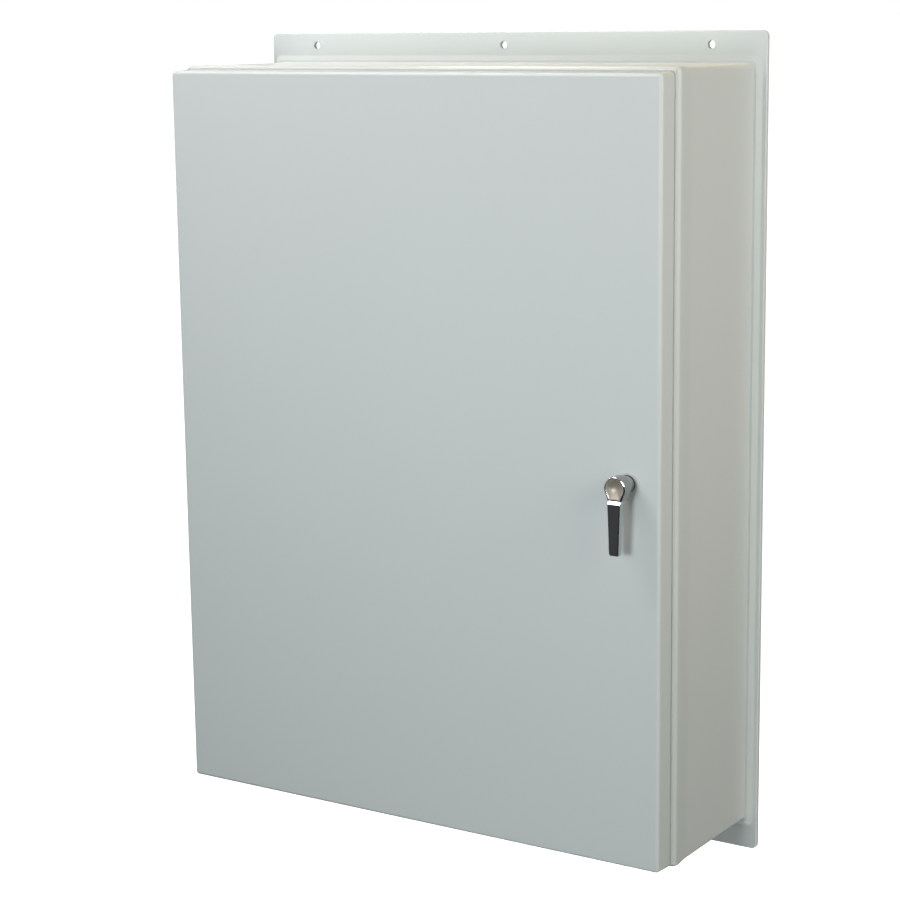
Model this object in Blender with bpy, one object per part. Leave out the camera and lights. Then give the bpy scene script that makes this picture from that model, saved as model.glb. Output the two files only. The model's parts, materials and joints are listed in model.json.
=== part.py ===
"""A wall-mounted fibreglass enclosure: hinged cover, three-point latch and a steel subpanel.

Metres. X runs to the right, Y towards the wall and Z up, as seen by someone facing the cover.
The origin is the centre of the back face, which lies on the wall. The cover is hinged on the left.
"""

import math

import bmesh
import bpy
from mathutils import Matrix, Vector

# ---- driving dimensions -------------------------------------------------------------------
COVER_W, COVER_H = 0.9144, 1.2192  # 36 x 48 inch cover
DEPTH = 0.316  # wall to cover face
SKIN = 0.005  # moulded wall thickness
FLANGE_T = 0.008  # back wall and its mounting flange
CLEAR = 0.0003  # gap kept between pieces that touch

# body, where an inset is measured inwards from the outer wall
BODY_HW, BODY_HH = COVER_W / 2 + 0.001, COVER_H / 2 + 0.005
BODY_CORNER = 0.016
SKIRT = 0.0375  # depth of the cover's skirt
PARTING = 0.0045  # gap between skirt and body
LIP_Y = -DEPTH + SKIRT + PARTING  # front of the body's return lip
LIP_BACK = LIP_Y + SKIN
LIP_W = 0.022
UPSTAND_T = 0.004
UPSTAND_TIP = -0.2985
BEAD = 0.003  # the front bead stands this far out of the wall
RIM_Y = -0.017  # where the tapered rim round the back starts
FLANGE_HW, FLANGE_HH = 0.477, COVER_H / 2 + 0.056
FLANGE_CORNER = 0.010
FLANGE_HOLE_R = 0.0065
FLANGE_HOLES_X = (-0.381, 0.0, 0.381)
FLANGE_HOLE_Z = COVER_H / 2 + 0.034

# subpanel
PANEL_HW, PANEL_HH, PANEL_T = 0.419, 0.5715, 0.0027
PANEL_EDGE = 0.010  # depth of its turned-back edges
PANEL_BACK = -0.0323
BOSS_R, BOSS_END = 0.0125, -0.032
PANEL_HOLE_X, PANEL_HOLES_Z = 0.400, (-0.5525, 0.0, 0.5525)

# cover
COVER_CORNER = 0.014
COVER_ROUND = 0.009
COVER_FRONT, COVER_BACK = -DEPTH, -DEPTH + SKIN
PAD = 0.005  # height of the moulded pads inside the cover
PAD_Y = COVER_BACK + PAD

# hinge
HINGE_X = -(BODY_HW + BEAD + CLEAR + 0.004)
HINGE_Y = LIP_Y - PARTING / 2
HINGE_HALF = 0.550
KNUCKLES = 16
KNUCKLE_R, HINGE_BORE_R, HINGE_PIN_R = 0.004, 0.00190, 0.00182
LEAF_T = 0.0015
HINGE_SCREWS_Z = (-0.48, -0.16, 0.16, 0.48)
BODY_SCREW_Y = HINGE_Y + KNUCKLE_R + 0.0085
COVER_SCREW_Y = HINGE_Y - KNUCKLE_R - 0.0160

# latch: LATCH_X is the handle's axis, THROW the radius of the rods' pivots on the cam
LATCH_X = 0.401
THROW = 0.022
STRIKE_T = 0.0015
STRIKE_BACK = LIP_BACK + CLEAR + STRIKE_T
STRIKE_LENGTH = 0.060
CAM_FRONT, CAM_T = STRIKE_BACK + 0.0005, 0.004
CAM_BACK = CAM_FRONT + CAM_T
ROLLER_R, ROLLER_HALF = 0.009, 0.005
ROD_Y, ROD_R = CAM_FRONT + ROLLER_R, 0.0045
ROLLER_Z = BODY_HH - SKIN - 0.002 - ROLLER_R  # with the bolts thrown
ROD_L = ROLLER_Z - THROW
ROD_LEAN = math.asin(THROW / ROD_L)  # at rest
EYE_R, EYE_T = 0.009, 0.005
GUIDE_Z, GUIDE_SHIFT, GUIDE_T = 0.500, 0.0032, 0.002
GRIP_FACE, HEAD_FACE, HEAD_BACK = COVER_FRONT - 0.0445, COVER_FRONT - 0.0415, COVER_FRONT - 0.0205
HEAD_R, BASE_R, FOOT_R, SEAL_T = 0.018, 0.0156, 0.0130, 0.001
SHAFT_R, SHAFT_BORE_R, SHAFT_SQUARE = 0.0060, 0.00608, 0.0040
LEVER_REACH = 0.1030


# ---- materials ----------------------------------------------------------------------------
def material(name, colour, roughness, metallic=0.0):
    made = bpy.data.materials.new(name)
    made.use_nodes = True
    shader = made.node_tree.nodes["Principled BSDF"]
    shader.inputs["Base Color"].default_value = (*colour, 1.0)
    shader.inputs["Roughness"].default_value = roughness
    shader.inputs["Metallic"].default_value = metallic
    return made


def make_materials():
    return {
        "fibreglass": material("fibreglass", (0.60, 0.62, 0.60), 0.35),
        "panel_white": material("panel_white", (0.85, 0.85, 0.83), 0.45),
        "stainless": material("stainless", (0.62, 0.61, 0.59), 0.35, 1.0),
        "chrome": material("chrome", (0.80, 0.80, 0.80), 0.08, 1.0),
        "zinc": material("zinc", (0.66, 0.67, 0.68), 0.40, 1.0),
        "brass": material("brass", (0.72, 0.56, 0.28), 0.35, 1.0),
        "foam": material("foam", (0.07, 0.07, 0.07), 0.85),
        "nylon": material("nylon", (0.82, 0.80, 0.74), 0.50),
        "rubber": material("rubber", (0.03, 0.03, 0.03), 0.70),
    }


# ---- shape tools --------------------------------------------------------------------------
def finish(name, bm, mat, smooth_angle=35.0):
    """The bmesh as a named object, its faces turned outwards."""
    bmesh.ops.recalc_face_normals(bm, faces=bm.faces)
    mesh = bpy.data.meshes.new(name)
    bm.to_mesh(mesh)
    bm.free()
    mesh.shade_smooth()
    mesh.set_sharp_from_angle(angle=math.radians(smooth_angle))
    obj = bpy.data.objects.new(name, mesh)
    if mat:
        obj.data.materials.append(mat)
    bpy.context.scene.collection.objects.link(obj)
    return obj


def bridge(bm, first, second):
    """Quads between two rings of as many vertices."""
    for i in range(len(first)):
        j = (i + 1) % len(first)
        bm.faces.new((first[i], first[j], second[j], second[i]))


def rounded_rectangle(half_w, half_h, radius, y, steps=4):
    """Points round a rectangle in the XZ plane, each corner an arc."""
    points = []
    for turn, (sx, sz) in enumerate(((1, 1), (-1, 1), (-1, -1), (1, -1))):
        centre_x, centre_z = sx * (half_w - radius), sz * (half_h - radius)
        for step in range(steps + 1):
            angle = math.radians(90) * (turn + step / steps)
            points.append((centre_x + radius * math.cos(angle), y, centre_z + radius * math.sin(angle)))
    return points


def loft(name, sections, mat, closed=False):
    """A skin through rounded rectangles (half_w, half_h, radius, y). A closed one is a frame."""
    bm = bmesh.new()
    rings = [[bm.verts.new(p) for p in rounded_rectangle(*section)] for section in sections]
    for first, second in zip(rings, rings[1:]):
        bridge(bm, first, second)
    if closed:
        bridge(bm, rings[-1], rings[0])
    else:
        bm.faces.new(rings[0])
        bm.faces.new(rings[-1])
    return finish(name, bm, mat)


def turned(name, profile, mat, axis="Y", place=(0, 0, 0), sides=12, closed=False):
    """A turned piece. Its profile holds (radius, along), or (half width, along, "hex" or "square").

    along is the world coordinate along the axis, so place gives only the other two.
    """
    bm = bmesh.new()
    rings = []
    for radius, along, *form in profile:
        corners = {"hex": 6, "square": 4}.get(form[0]) if form else None
        ring = []
        for i in range(sides):
            angle = 2 * math.pi * i / sides
            reach = radius
            if corners:
                flat = 2 * math.pi / corners
                reach = radius / math.cos((angle % flat) - flat / 2)
            ring.append(bm.verts.new((reach * math.cos(angle), reach * math.sin(angle), along)))
        rings.append(ring)
    for first, second in zip(rings, rings[1:]):
        bridge(bm, first, second)
    if closed:
        bridge(bm, rings[-1], rings[0])
    else:
        bm.faces.new(rings[0])
        bm.faces.new(rings[-1])
    to_axis = {
        "X": Matrix(((0, 0, 1), (1, 0, 0), (0, 1, 0))),
        "Y": Matrix(((0, 1, 0), (0, 0, 1), (1, 0, 0))),
        "Z": Matrix.Identity(3),
    }[axis]
    bmesh.ops.transform(bm, matrix=to_axis.to_4x4(), verts=bm.verts)
    bmesh.ops.translate(bm, vec=Vector(place), verts=bm.verts)
    return finish(name, bm, mat)


def prism(name, outline, low, high, mat, along="X"):
    """An outline extruded from low to high. Its points are (Y, Z), (X, Z) or (X, Y)."""
    bm = bmesh.new()
    place = {
        "X": lambda p, q, t: (t, p, q),
        "Y": lambda p, q, t: (p, t, q),
        "Z": lambda p, q, t: (p, q, t),
    }[along]
    rings = [[bm.verts.new(place(p, q, t)) for p, q in outline] for t in (low, high)]
    bridge(bm, *rings)
    for ring in rings:
        bm.faces.new(ring)
    return finish(name, bm, mat)


def block(name, low, high, mat=None):
    """A box between two corners."""
    (x0, y0, z0), (x1, y1, z1) = low, high
    return prism(name, ((x0, y0), (x1, y0), (x1, y1), (x0, y1)), z0, z1, mat, along="Z")


def arc(centre, radius, start, end, steps=6):
    """Points on an arc, its angles in degrees."""
    turn = [math.radians(start + (end - start) * i / steps) for i in range(steps + 1)]
    return [(centre[0] + radius * math.cos(a), centre[1] + radius * math.sin(a)) for a in turn]


def apply_tool(target, tool, operation):
    """Cuts a helper from target, or joins it on. The helper stays hidden in the scene."""
    change = target.modifiers.new(f"{operation.lower()} {tool.name}", "BOOLEAN")
    change.operation = operation
    change.solver = "EXACT"
    change.object = tool
    tool.hide_render = True
    tool.display_type = "WIRE"


def cut(target, *tools):
    for tool in tools:
        apply_tool(target, tool, "DIFFERENCE")


def join(target, *tools):
    for tool in tools:
        apply_tool(target, tool, "UNION")


def drill(target, radius, low, high, x, z, sides=16):
    """A round hole along Y."""
    cut(target, turned(f"{target.name} drill", ((radius, low), (radius, high)), None, "Y", (x, 0, z), sides))


def drill_side(target, y, z):
    """A hinge screw's hole through the left side."""
    bore = ((0.0022, HINGE_X - 0.01), (0.0022, -BODY_HW + 0.009))
    cut(target, turned(f"{target.name} side drill", bore, None, "X", (0, y, z), 8))


# ---- fibreglass shells --------------------------------------------------------------------
def body_section(inset, y):
    radius = max(BODY_CORNER - inset, 0.004)
    return BODY_HW - inset, BODY_HH - inset, radius, y


def make_body_shell(mat):
    """The moulded tub: cavity floor, walls, return lip with its sealing edge, outer wall, rim and flange."""
    floor = -FLANGE_T
    inside = [
        body_section(SKIN + 0.008, floor),
        body_section(SKIN + 0.0025, floor - 0.0025),
        body_section(SKIN, floor - 0.008),
        body_section(SKIN, LIP_BACK),
        body_section(LIP_W, LIP_BACK),
        body_section(LIP_W, UPSTAND_TIP),
        body_section(LIP_W - UPSTAND_T, UPSTAND_TIP),
        body_section(LIP_W - UPSTAND_T, LIP_Y),
    ]
    bead = [
        body_section(0.002 - BEAD, LIP_Y),
        body_section(0.0006 - BEAD, LIP_Y + 0.0006),
        body_section(-BEAD, LIP_Y + 0.002),
        body_section(-BEAD, LIP_Y + 0.017),
        body_section(-BEAD * 0.6, LIP_Y + 0.021),
        body_section(0, LIP_Y + 0.027),
    ]
    rim = [
        body_section(0, RIM_Y),
        body_section(-0.0022, RIM_Y + 0.0003),
        body_section(-0.004, RIM_Y + 0.0013),
        body_section(-0.012, -FLANGE_T),
    ]
    flange = [
        (FLANGE_HW - 0.0015, FLANGE_HH - 0.0015, FLANGE_CORNER, -FLANGE_T),
        (FLANGE_HW, FLANGE_HH, FLANGE_CORNER, -FLANGE_T + 0.0015),
        (FLANGE_HW, FLANGE_HH, FLANGE_CORNER, 0.0),
    ]
    shell = loft("body_shell", inside + bead + rim + flange, mat)
    for x in FLANGE_HOLES_X:
        for z in (-FLANGE_HOLE_Z, FLANGE_HOLE_Z):
            drill(shell, FLANGE_HOLE_R, -0.02, 0.02, x, z)
    for x in (-PANEL_HOLE_X, PANEL_HOLE_X):
        for z in PANEL_HOLES_Z:
            stud = ((BOSS_R + 0.001, floor + 0.002), (BOSS_R, BOSS_END))
            join(shell, turned("panel boss", stud, None, "Y", (x, 0, z), 16))
            drill(shell, 0.0063, BOSS_END - 0.01, -0.0130, x, z, 10)
    for x, z in rivet_places():
        drill(shell, 0.0024, LIP_Y - 0.01, LIP_BACK + 0.01, x, z, 8)
    for z in HINGE_SCREWS_Z:
        drill_side(shell, BODY_SCREW_Y, z)
    return shell


def cover_section(inset, y):
    radius = max(COVER_CORNER - inset, 0.004)
    return COVER_W / 2 - inset, COVER_H / 2 - inset, radius, y


def make_cover_shell(mat):
    """The moulded cover: a flat face, a rounded edge, a skirt and a channel that holds the gasket."""
    edge = [
        cover_section(COVER_ROUND * (1 - math.sin(a)), COVER_FRONT + COVER_ROUND * (1 - math.cos(a)))
        for a in (math.radians(90 * i / 4) for i in range(5))
    ]
    skirt_end = -DEPTH + SKIRT
    inner = COVER_ROUND - SKIN
    skirt = [
        cover_section(0, skirt_end - 0.001),
        cover_section(0.001, skirt_end),
        cover_section(SKIN, skirt_end),
        cover_section(SKIN, COVER_BACK + inner),
        cover_section(SKIN + inner, COVER_BACK),
    ]
    channel = []
    for outer, inner_side in ((0.0095, 0.0120), (0.0275, 0.0300)):
        channel += [
            cover_section(outer, COVER_BACK),
            cover_section(outer, COVER_BACK + 0.008),
            cover_section(inner_side, COVER_BACK + 0.008),
            cover_section(inner_side, COVER_BACK),
        ]
    shell = loft("cover_shell", edge + skirt + channel, mat)
    for z, half in ((GUIDE_Z, 0.022), (0.0, 0.036), (-GUIDE_Z, 0.022)):
        low = (LATCH_X - 0.030, COVER_BACK - 0.002, z - half)
        high = (LATCH_X + 0.0275, PAD_Y, z + half)
        join(shell, block("latch pad", low, high))
    drill(shell, 0.0104, COVER_FRONT - 0.01, PAD_Y + 0.01, LATCH_X, 0, 20)
    for x, z in guide_screw_places():
        drill(shell, 0.0023, COVER_BACK - 0.001, PAD_Y + 0.01, x, z, 8)
    for z in HINGE_SCREWS_Z:
        drill_side(shell, COVER_SCREW_Y, z)
    return shell


def make_gasket(mat):
    """The foam strip in the cover's channel, pressed on by the body's sealing edge."""
    back = UPSTAND_TIP - CLEAR
    front = COVER_BACK + CLEAR
    sections = [
        cover_section(0.0124, front),
        cover_section(0.0124, back - 0.003),
        cover_section(0.0150, back),
        cover_section(0.0245, back),
        cover_section(0.0271, back - 0.003),
        cover_section(0.0271, front),
    ]
    return loft("cover_gasket", sections, mat, closed=True)


# ---- subpanel -----------------------------------------------------------------------------
def make_subpanel(mat):
    """A steel plate whose long edges are turned back towards the wall."""
    front, back, edge = PANEL_BACK - PANEL_T, PANEL_BACK, PANEL_BACK - PANEL_T + PANEL_EDGE
    w, t = PANEL_HW, PANEL_T
    outline = [
        (-w, edge),
        (-w, front + 0.002),
        (-w + 0.002, front),
        (w - 0.002, front),
        (w, front + 0.002),
        (w, edge),
        (w - t, edge),
        (w - t, back),
        (-w + t, back),
        (-w + t, edge),
    ]
    panel = prism("subpanel", outline, -PANEL_HH, PANEL_HH, mat, along="Z")
    for x in (-PANEL_HOLE_X, PANEL_HOLE_X):
        for z in PANEL_HOLES_Z:
            drill(panel, 0.0040, front - 0.01, back + 0.01, x, z, 12)
    return panel


def make_panel_fixings(steel, brass):
    """A brass insert in each boss and the flanged hex screw that holds the subpanel on it."""
    head = PANEL_BACK - PANEL_T - CLEAR
    number = 0
    for x in (-PANEL_HOLE_X, PANEL_HOLE_X):
        for z in PANEL_HOLES_Z:
            number += 1
            sleeve = ((0.0034, -0.0135), (0.0060, -0.0135), (0.0060, BOSS_END), (0.0034, BOSS_END))
            turned(f"panel_insert_{number}", sleeve, brass, "Y", (x, 0, z), closed=True)
            screw = (
                (0.0028, -0.0150),
                (0.0031, -0.0155),
                (0.0031, head),
                (0.0085, head),
                (0.0085, head - 0.0010),
                (0.0055, head - 0.0018, "hex"),
                (0.0055, head - 0.0060, "hex"),
                (0.0045, head - 0.0065),
            )
            turned(f"panel_screw_{number}", screw, steel, "Y", (x, 0, z))


# ---- hinge --------------------------------------------------------------------------------
def make_hinge(steel):
    """A continuous hinge on the left side, its knuckles taken in turn by the two leaves."""
    pitch = 2 * HINGE_HALF / KNUCKLES
    leaf_inner = HINGE_X + KNUCKLE_R
    leaf_outer = leaf_inner - LEAF_T
    cover_inner = -COVER_W / 2 - CLEAR
    cover_outer = cover_inner - LEAF_T
    front, back = HINGE_Y - KNUCKLE_R, HINGE_Y + KNUCKLE_R
    body_leaf = (
        (leaf_outer, back),
        (leaf_inner, back),
        (leaf_inner, back + 0.015),
        (leaf_outer, back + 0.015),
    )
    cover_leaf = (
        (leaf_outer, front),
        (leaf_outer, front - 0.0025),
        (cover_outer, front - 0.0065),
        (cover_outer, front - 0.0240),
        (cover_inner, front - 0.0240),
        (cover_inner, front - 0.0060),
        (leaf_inner, front - 0.0020),
        (leaf_inner, front),
    )
    leaves = {}
    for name, outline, edge, first in (
        ("hinge_leaf_body", body_leaf, back, 0),
        ("hinge_leaf_cover", cover_leaf, front, 1),
    ):
        leaf = prism(name, outline, -HINGE_HALF, HINGE_HALF, steel, along="Z")
        for index in range(first, KNUCKLES, 2):
            low = -HINGE_HALF + index * pitch + 0.0004
            high = low + pitch - 0.0008
            ring = ((KNUCKLE_R, low), (KNUCKLE_R, high))
            # the neck runs 0.5 mm into the leaf, so that leaf, neck and knuckle become one body
            reach = edge + math.copysign(0.0005, edge - HINGE_Y)
            near, far = min(reach, HINGE_Y), max(reach, HINGE_Y)
            neck = block("neck", (leaf_outer, near, low), (leaf_inner, far, high))
            join(leaf, neck, turned("knuckle", ring, None, "Z", (HINGE_X, HINGE_Y, 0), 12))
        bore = ((HINGE_BORE_R, -HINGE_HALF - 0.01), (HINGE_BORE_R, HINGE_HALF + 0.01))
        cut(leaf, turned("hinge bore", bore, None, "Z", (HINGE_X, HINGE_Y, 0), 14))
        leaves[name] = leaf
    pin = ((HINGE_PIN_R, -HINGE_HALF - 0.001), (HINGE_PIN_R, HINGE_HALF + 0.001))
    turned("hinge_pin", pin, steel, "Z", (HINGE_X, HINGE_Y, 0), 14)
    screws = {"body": [], "cover": []}
    for part, face, y in (("body", leaf_outer, BODY_SCREW_Y), ("cover", cover_outer, COVER_SCREW_Y)):
        for number, z in enumerate(HINGE_SCREWS_Z, 1):
            drill_side(leaves[f"hinge_leaf_{part}"], y, z)
            profile = (
                (0.0028, face - CLEAR - 0.0018),
                (0.0038, face - CLEAR - 0.0010),
                (0.0038, face - CLEAR),
                (0.0019, face - CLEAR),
                (0.0019, -0.4502),
            )
            screw = turned(f"hinge_screw_{part}_{number}", profile, steel, "X", (0, y, z), 8)
            screws[part].append(screw)
    return [leaves["hinge_leaf_cover"], *screws["cover"]]


# ---- strikes ------------------------------------------------------------------------------
def rivet_places():
    """(X, Z) of the two rivets in each strike."""
    spread = 0.022
    depth = LIP_W - 0.009
    for z in (BODY_HH - depth, -BODY_HH + depth):
        for x in (LATCH_X - spread, LATCH_X + spread):
            yield x, z
    for z in (-spread, spread):
        yield BODY_HW - depth, z


def make_strikes(steel):
    """Steel plates behind the return lip, where the rollers and the cam bear, each on two rivets."""
    half, front = STRIKE_LENGTH / 2, LIP_BACK + CLEAR
    inner, outer = LIP_W - 0.001, SKIN + 0.0015
    spans = {
        "upper": ((LATCH_X - half, BODY_HH - inner), (LATCH_X + half, BODY_HH - outer)),
        "lower": ((LATCH_X - half, -BODY_HH + outer), (LATCH_X + half, -BODY_HH + inner)),
        "side": ((BODY_HW - inner, -half), (BODY_HW - outer, half)),
    }
    pieces = []
    for name, ((x0, z0), (x1, z1)) in spans.items():
        strike = block(f"strike_{name}", (x0, front, z0), (x1, STRIKE_BACK, z1), steel)
        for x, z in rivet_places():
            if x0 < x < x1 and z0 < z < z1:
                drill(strike, 0.0024, front - 0.01, STRIKE_BACK + 0.01, x, z, 8)
        pieces.append(strike)
    for number, (x, z) in enumerate(rivet_places(), 1):
        rivet = (
            (0.0030, LIP_Y - CLEAR - 0.0010),
            (0.0042, LIP_Y - CLEAR),
            (0.0021, LIP_Y - CLEAR),
            (0.0021, STRIKE_BACK - 0.0001),
        )
        pieces.append(turned(f"strike_rivet_{number}", rivet, steel, "Y", (x, 0, z), 8))
    return pieces


# ---- handle and latch ---------------------------------------------------------------------
def make_handle_base(chrome, rubber, zinc):
    """The fixed bushing that the handle turns in, with its seal outside and its nut inside."""
    seal_front = COVER_FRONT - CLEAR - SEAL_T
    bushing = (
        (SHAFT_BORE_R, HEAD_BACK + CLEAR),
        (BASE_R - 0.0012, HEAD_BACK + CLEAR),
        (BASE_R, HEAD_BACK + 0.0015),
        (FOOT_R, seal_front - CLEAR),
        (0.0100, seal_front - CLEAR),
        (0.0100, PAD_Y + 0.0085),
        (SHAFT_BORE_R, PAD_Y + 0.0085),
    )
    seal = (
        (0.0104, seal_front),
        (FOOT_R + 0.0006, seal_front),
        (FOOT_R + 0.0006, COVER_FRONT - CLEAR),
        (0.0104, COVER_FRONT - CLEAR),
    )
    nut = (
        (0.0103, PAD_Y + CLEAR),
        (0.0140, PAD_Y + CLEAR, "hex"),
        (0.0140, PAD_Y + 0.0062, "hex"),
        (0.0103, PAD_Y + 0.0062),
    )
    place = (LATCH_X, 0, 0)
    return [
        turned("handle_bushing", bushing, chrome, "Y", place, 24, closed=True),
        turned("handle_seal", seal, rubber, "Y", place, 20, closed=True),
        turned("handle_nut", nut, zinc, "Y", place, 18, closed=True),
    ]


def keyhole(inset):
    """The handle head's outline (X, Z): round above, narrowing below to the grip."""
    radius, half, low = HEAD_R - inset, 0.0117 - inset, -0.0195 + inset
    reach = math.hypot(half, low)
    start = math.degrees(math.atan2(low, half) + math.acos(radius / reach))
    outline = arc((0, 0), radius, start, 180 - start, 16) + [(-half, low), (half, low)]
    return [(LATCH_X + x, z) for x, z in outline]


def make_handle(chrome):
    """The lever, hanging straight down: a head with a shield-shaped recess, and a grip."""
    bm = bmesh.new()
    head = (
        (0.0010, HEAD_BACK),
        (0.0, HEAD_BACK - 0.0010),
        (0.0, HEAD_FACE + 0.0015),
        (0.0015, HEAD_FACE),
        (0.0043, HEAD_FACE),
        (0.0050, HEAD_FACE + 0.0020),
    )
    rings = [[bm.verts.new((x, y, z)) for x, z in keyhole(inset)] for inset, y in head]
    for first, second in zip(rings, rings[1:]):
        bridge(bm, first, second)
    bm.faces.new(rings[0])
    bm.faces.new(rings[-1])
    lever = finish("handle_lever", bm, chrome)
    # down the grip: Z, half width, front and back
    grip = (
        (-0.0165, 0.0095, HEAD_FACE + 0.0028, HEAD_FACE + 0.0120),
        (-0.0188, 0.0112, HEAD_FACE + 0.0003, HEAD_FACE + 0.0125),
        (-0.0250, 0.0108, GRIP_FACE, GRIP_FACE + 0.0130),
        (-0.0600, 0.0094, GRIP_FACE + 0.0003, GRIP_FACE + 0.0125),
        (-0.0985, 0.0082, GRIP_FACE + 0.0003, GRIP_FACE + 0.0118),
        (-LEVER_REACH, 0.0070, GRIP_FACE + 0.0020, GRIP_FACE + 0.0105),
    )
    bm = bmesh.new()
    rings = []
    for z, half, front, back in grip:
        soft = 0.0016
        sides = ((-half, front + soft), (-half + soft, front), (half - soft, front), (half, front + soft))
        tail = ((half, back - soft), (half - soft, back), (-half + soft, back), (-half, back - soft))
        rings.append([bm.verts.new((LATCH_X + x, y, z)) for x, y in sides + tail])
    for first, second in zip(rings, rings[1:]):
        bridge(bm, first, second)
    bm.faces.new(rings[0])
    bm.faces.new(rings[-1])
    join(lever, finish("grip", bm, None))
    bore = ((SHAFT_R + CLEAR, HEAD_FACE + 0.0075), (SHAFT_R + CLEAR, 0.0))
    cut(lever, turned("handle bore", bore, None, "Y", (LATCH_X, 0, 0), 16))
    return [lever]


def make_cam(steel, zinc):
    """The shaft and the cam it turns, whose nose bears behind the side strike once turned."""
    place = (LATCH_X, 0, 0)
    shaft = (
        (SHAFT_R, HEAD_FACE + 0.0080),
        (SHAFT_R, CAM_FRONT - CLEAR),
        (SHAFT_SQUARE, CAM_FRONT - CLEAR, "square"),
        (SHAFT_SQUARE, CAM_BACK - 0.0002, "square"),
        (0.0039, CAM_BACK - 0.0002),
        (0.0039, CAM_BACK + 0.0090),
    )
    nut = (
        (0.0042, CAM_BACK + CLEAR),
        (0.0065, CAM_BACK + CLEAR, "hex"),
        (0.0065, CAM_BACK + 0.0065, "hex"),
        (0.0042, CAM_BACK + 0.0065),
    )
    outline = arc((THROW, 0), EYE_R, -90, 90)
    outline += [(0.011, 0.0125), (0.008, 0.030), (0.0065, 0.0445)]
    outline += [(-0.0065, 0.0445), (-0.008, 0.030), (-0.011, 0.0125)]
    outline += arc((-THROW, 0), EYE_R, 90, 270)
    outline += [(-0.010, -0.0115), (0.010, -0.0115)]
    cam = prism("latch_cam", [(LATCH_X + x, z) for x, z in outline], CAM_FRONT, CAM_BACK, steel, along="Y")
    side = SHAFT_SQUARE + CLEAR
    hole = ((side, CAM_FRONT - 0.01, "square"), (side, CAM_BACK + 0.01, "square"))
    cut(cam, turned("cam hole", hole, None, "Y", place, 8))
    for x in (-THROW, THROW):
        drill(cam, 0.0028, CAM_FRONT - 0.01, CAM_BACK + 0.01, LATCH_X + x, 0, 12)
    pieces = [
        turned("latch_shaft", shaft, steel, "Y", place, 24),
        cam,
        turned("cam_nut", nut, zinc, "Y", place, 12, closed=True),
    ]
    eye_back = CAM_BACK + CLEAR + EYE_T
    for name, x in (("upper", -THROW), ("lower", THROW)):
        pin = (
            (0.0030, CAM_FRONT - 0.0018),
            (0.0040, CAM_FRONT - CLEAR),
            (0.0025, CAM_FRONT - CLEAR),
            (0.0025, eye_back + CLEAR),
            (0.0040, eye_back + CLEAR),
            (0.0030, eye_back + 0.0018),
        )
        pieces.append(turned(f"rod_pin_{name}", pin, steel, "Y", (LATCH_X + x, 0, 0), 16))
    return pieces


def make_rod(name, steel):
    """A latch rod standing on a pivot at X 0, Z 0: an eye, a round bar and a fork for its roller."""
    eye_front = CAM_BACK + CLEAR
    outline = [(0.0035, 0.020), (0.0035, 0.024), (-0.0035, 0.024), (-0.0035, 0.020)]
    outline += arc((0, 0), EYE_R - 0.0010, 150, 390, 8)
    eye = prism(name, outline, eye_front, eye_front + EYE_T, steel, along="Y")
    fork_low = ROD_L - ROLLER_R - 0.0075
    join(eye, turned("bar", ((ROD_R, 0.016), (ROD_R, fork_low + 0.002)), None, "Z", (0, ROD_Y, 0), 10))
    gap, outer = ROLLER_HALF + CLEAR, ROLLER_HALF + 0.0023
    floor, top = ROD_L - ROLLER_R - 0.0015, ROD_L + 0.005
    fork = (
        (-outer, fork_low),
        (outer, fork_low),
        (outer, top),
        (gap, top),
        (gap, floor),
        (-gap, floor),
        (-gap, top),
        (-outer, top),
    )
    join(eye, prism("fork", fork, ROD_Y - 0.0044, ROD_Y + 0.0044, None, along="Y"))
    pin_bore = ((0.00258, eye_front - 0.01), (0.00258, eye_front + 0.02))
    axle_bore = ((0.0023, -0.02), (0.0023, 0.02))
    cut(eye, turned("eye hole", pin_bore, None, "Y", sides=16))
    cut(eye, turned("axle hole", axle_bore, None, "X", (0, ROD_Y, ROD_L), 10))
    return eye


def make_roller(side, nylon, steel):
    """The nylon roller in a rod's fork, and its axle."""
    place = (0, ROD_Y, ROD_L)
    tread = (
        (0.0021, -ROLLER_HALF),
        (ROLLER_R - 0.0008, -ROLLER_HALF),
        (ROLLER_R, -ROLLER_HALF + 0.0008),
        (ROLLER_R, ROLLER_HALF - 0.0008),
        (ROLLER_R - 0.0008, ROLLER_HALF),
        (0.0021, ROLLER_HALF),
    )
    end = ROLLER_HALF + 0.0023 + CLEAR
    axle = (
        (0.0030, -end - 0.0012),
        (0.0034, -end),
        (0.0020, -end),
        (0.0020, end),
        (0.0034, end),
        (0.0030, end + 0.0012),
    )
    return (
        turned(f"roller_{side}", tread, nylon, "X", place, 14, closed=True),
        turned(f"roller_axle_{side}", axle, steel, "X", place, 14),
    )


def guide_screw_places():
    for z in (GUIDE_Z - 0.011, -GUIDE_Z + 0.011):
        for x in (LATCH_X - 0.018, LATCH_X + 0.018):
            yield x, z


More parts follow.
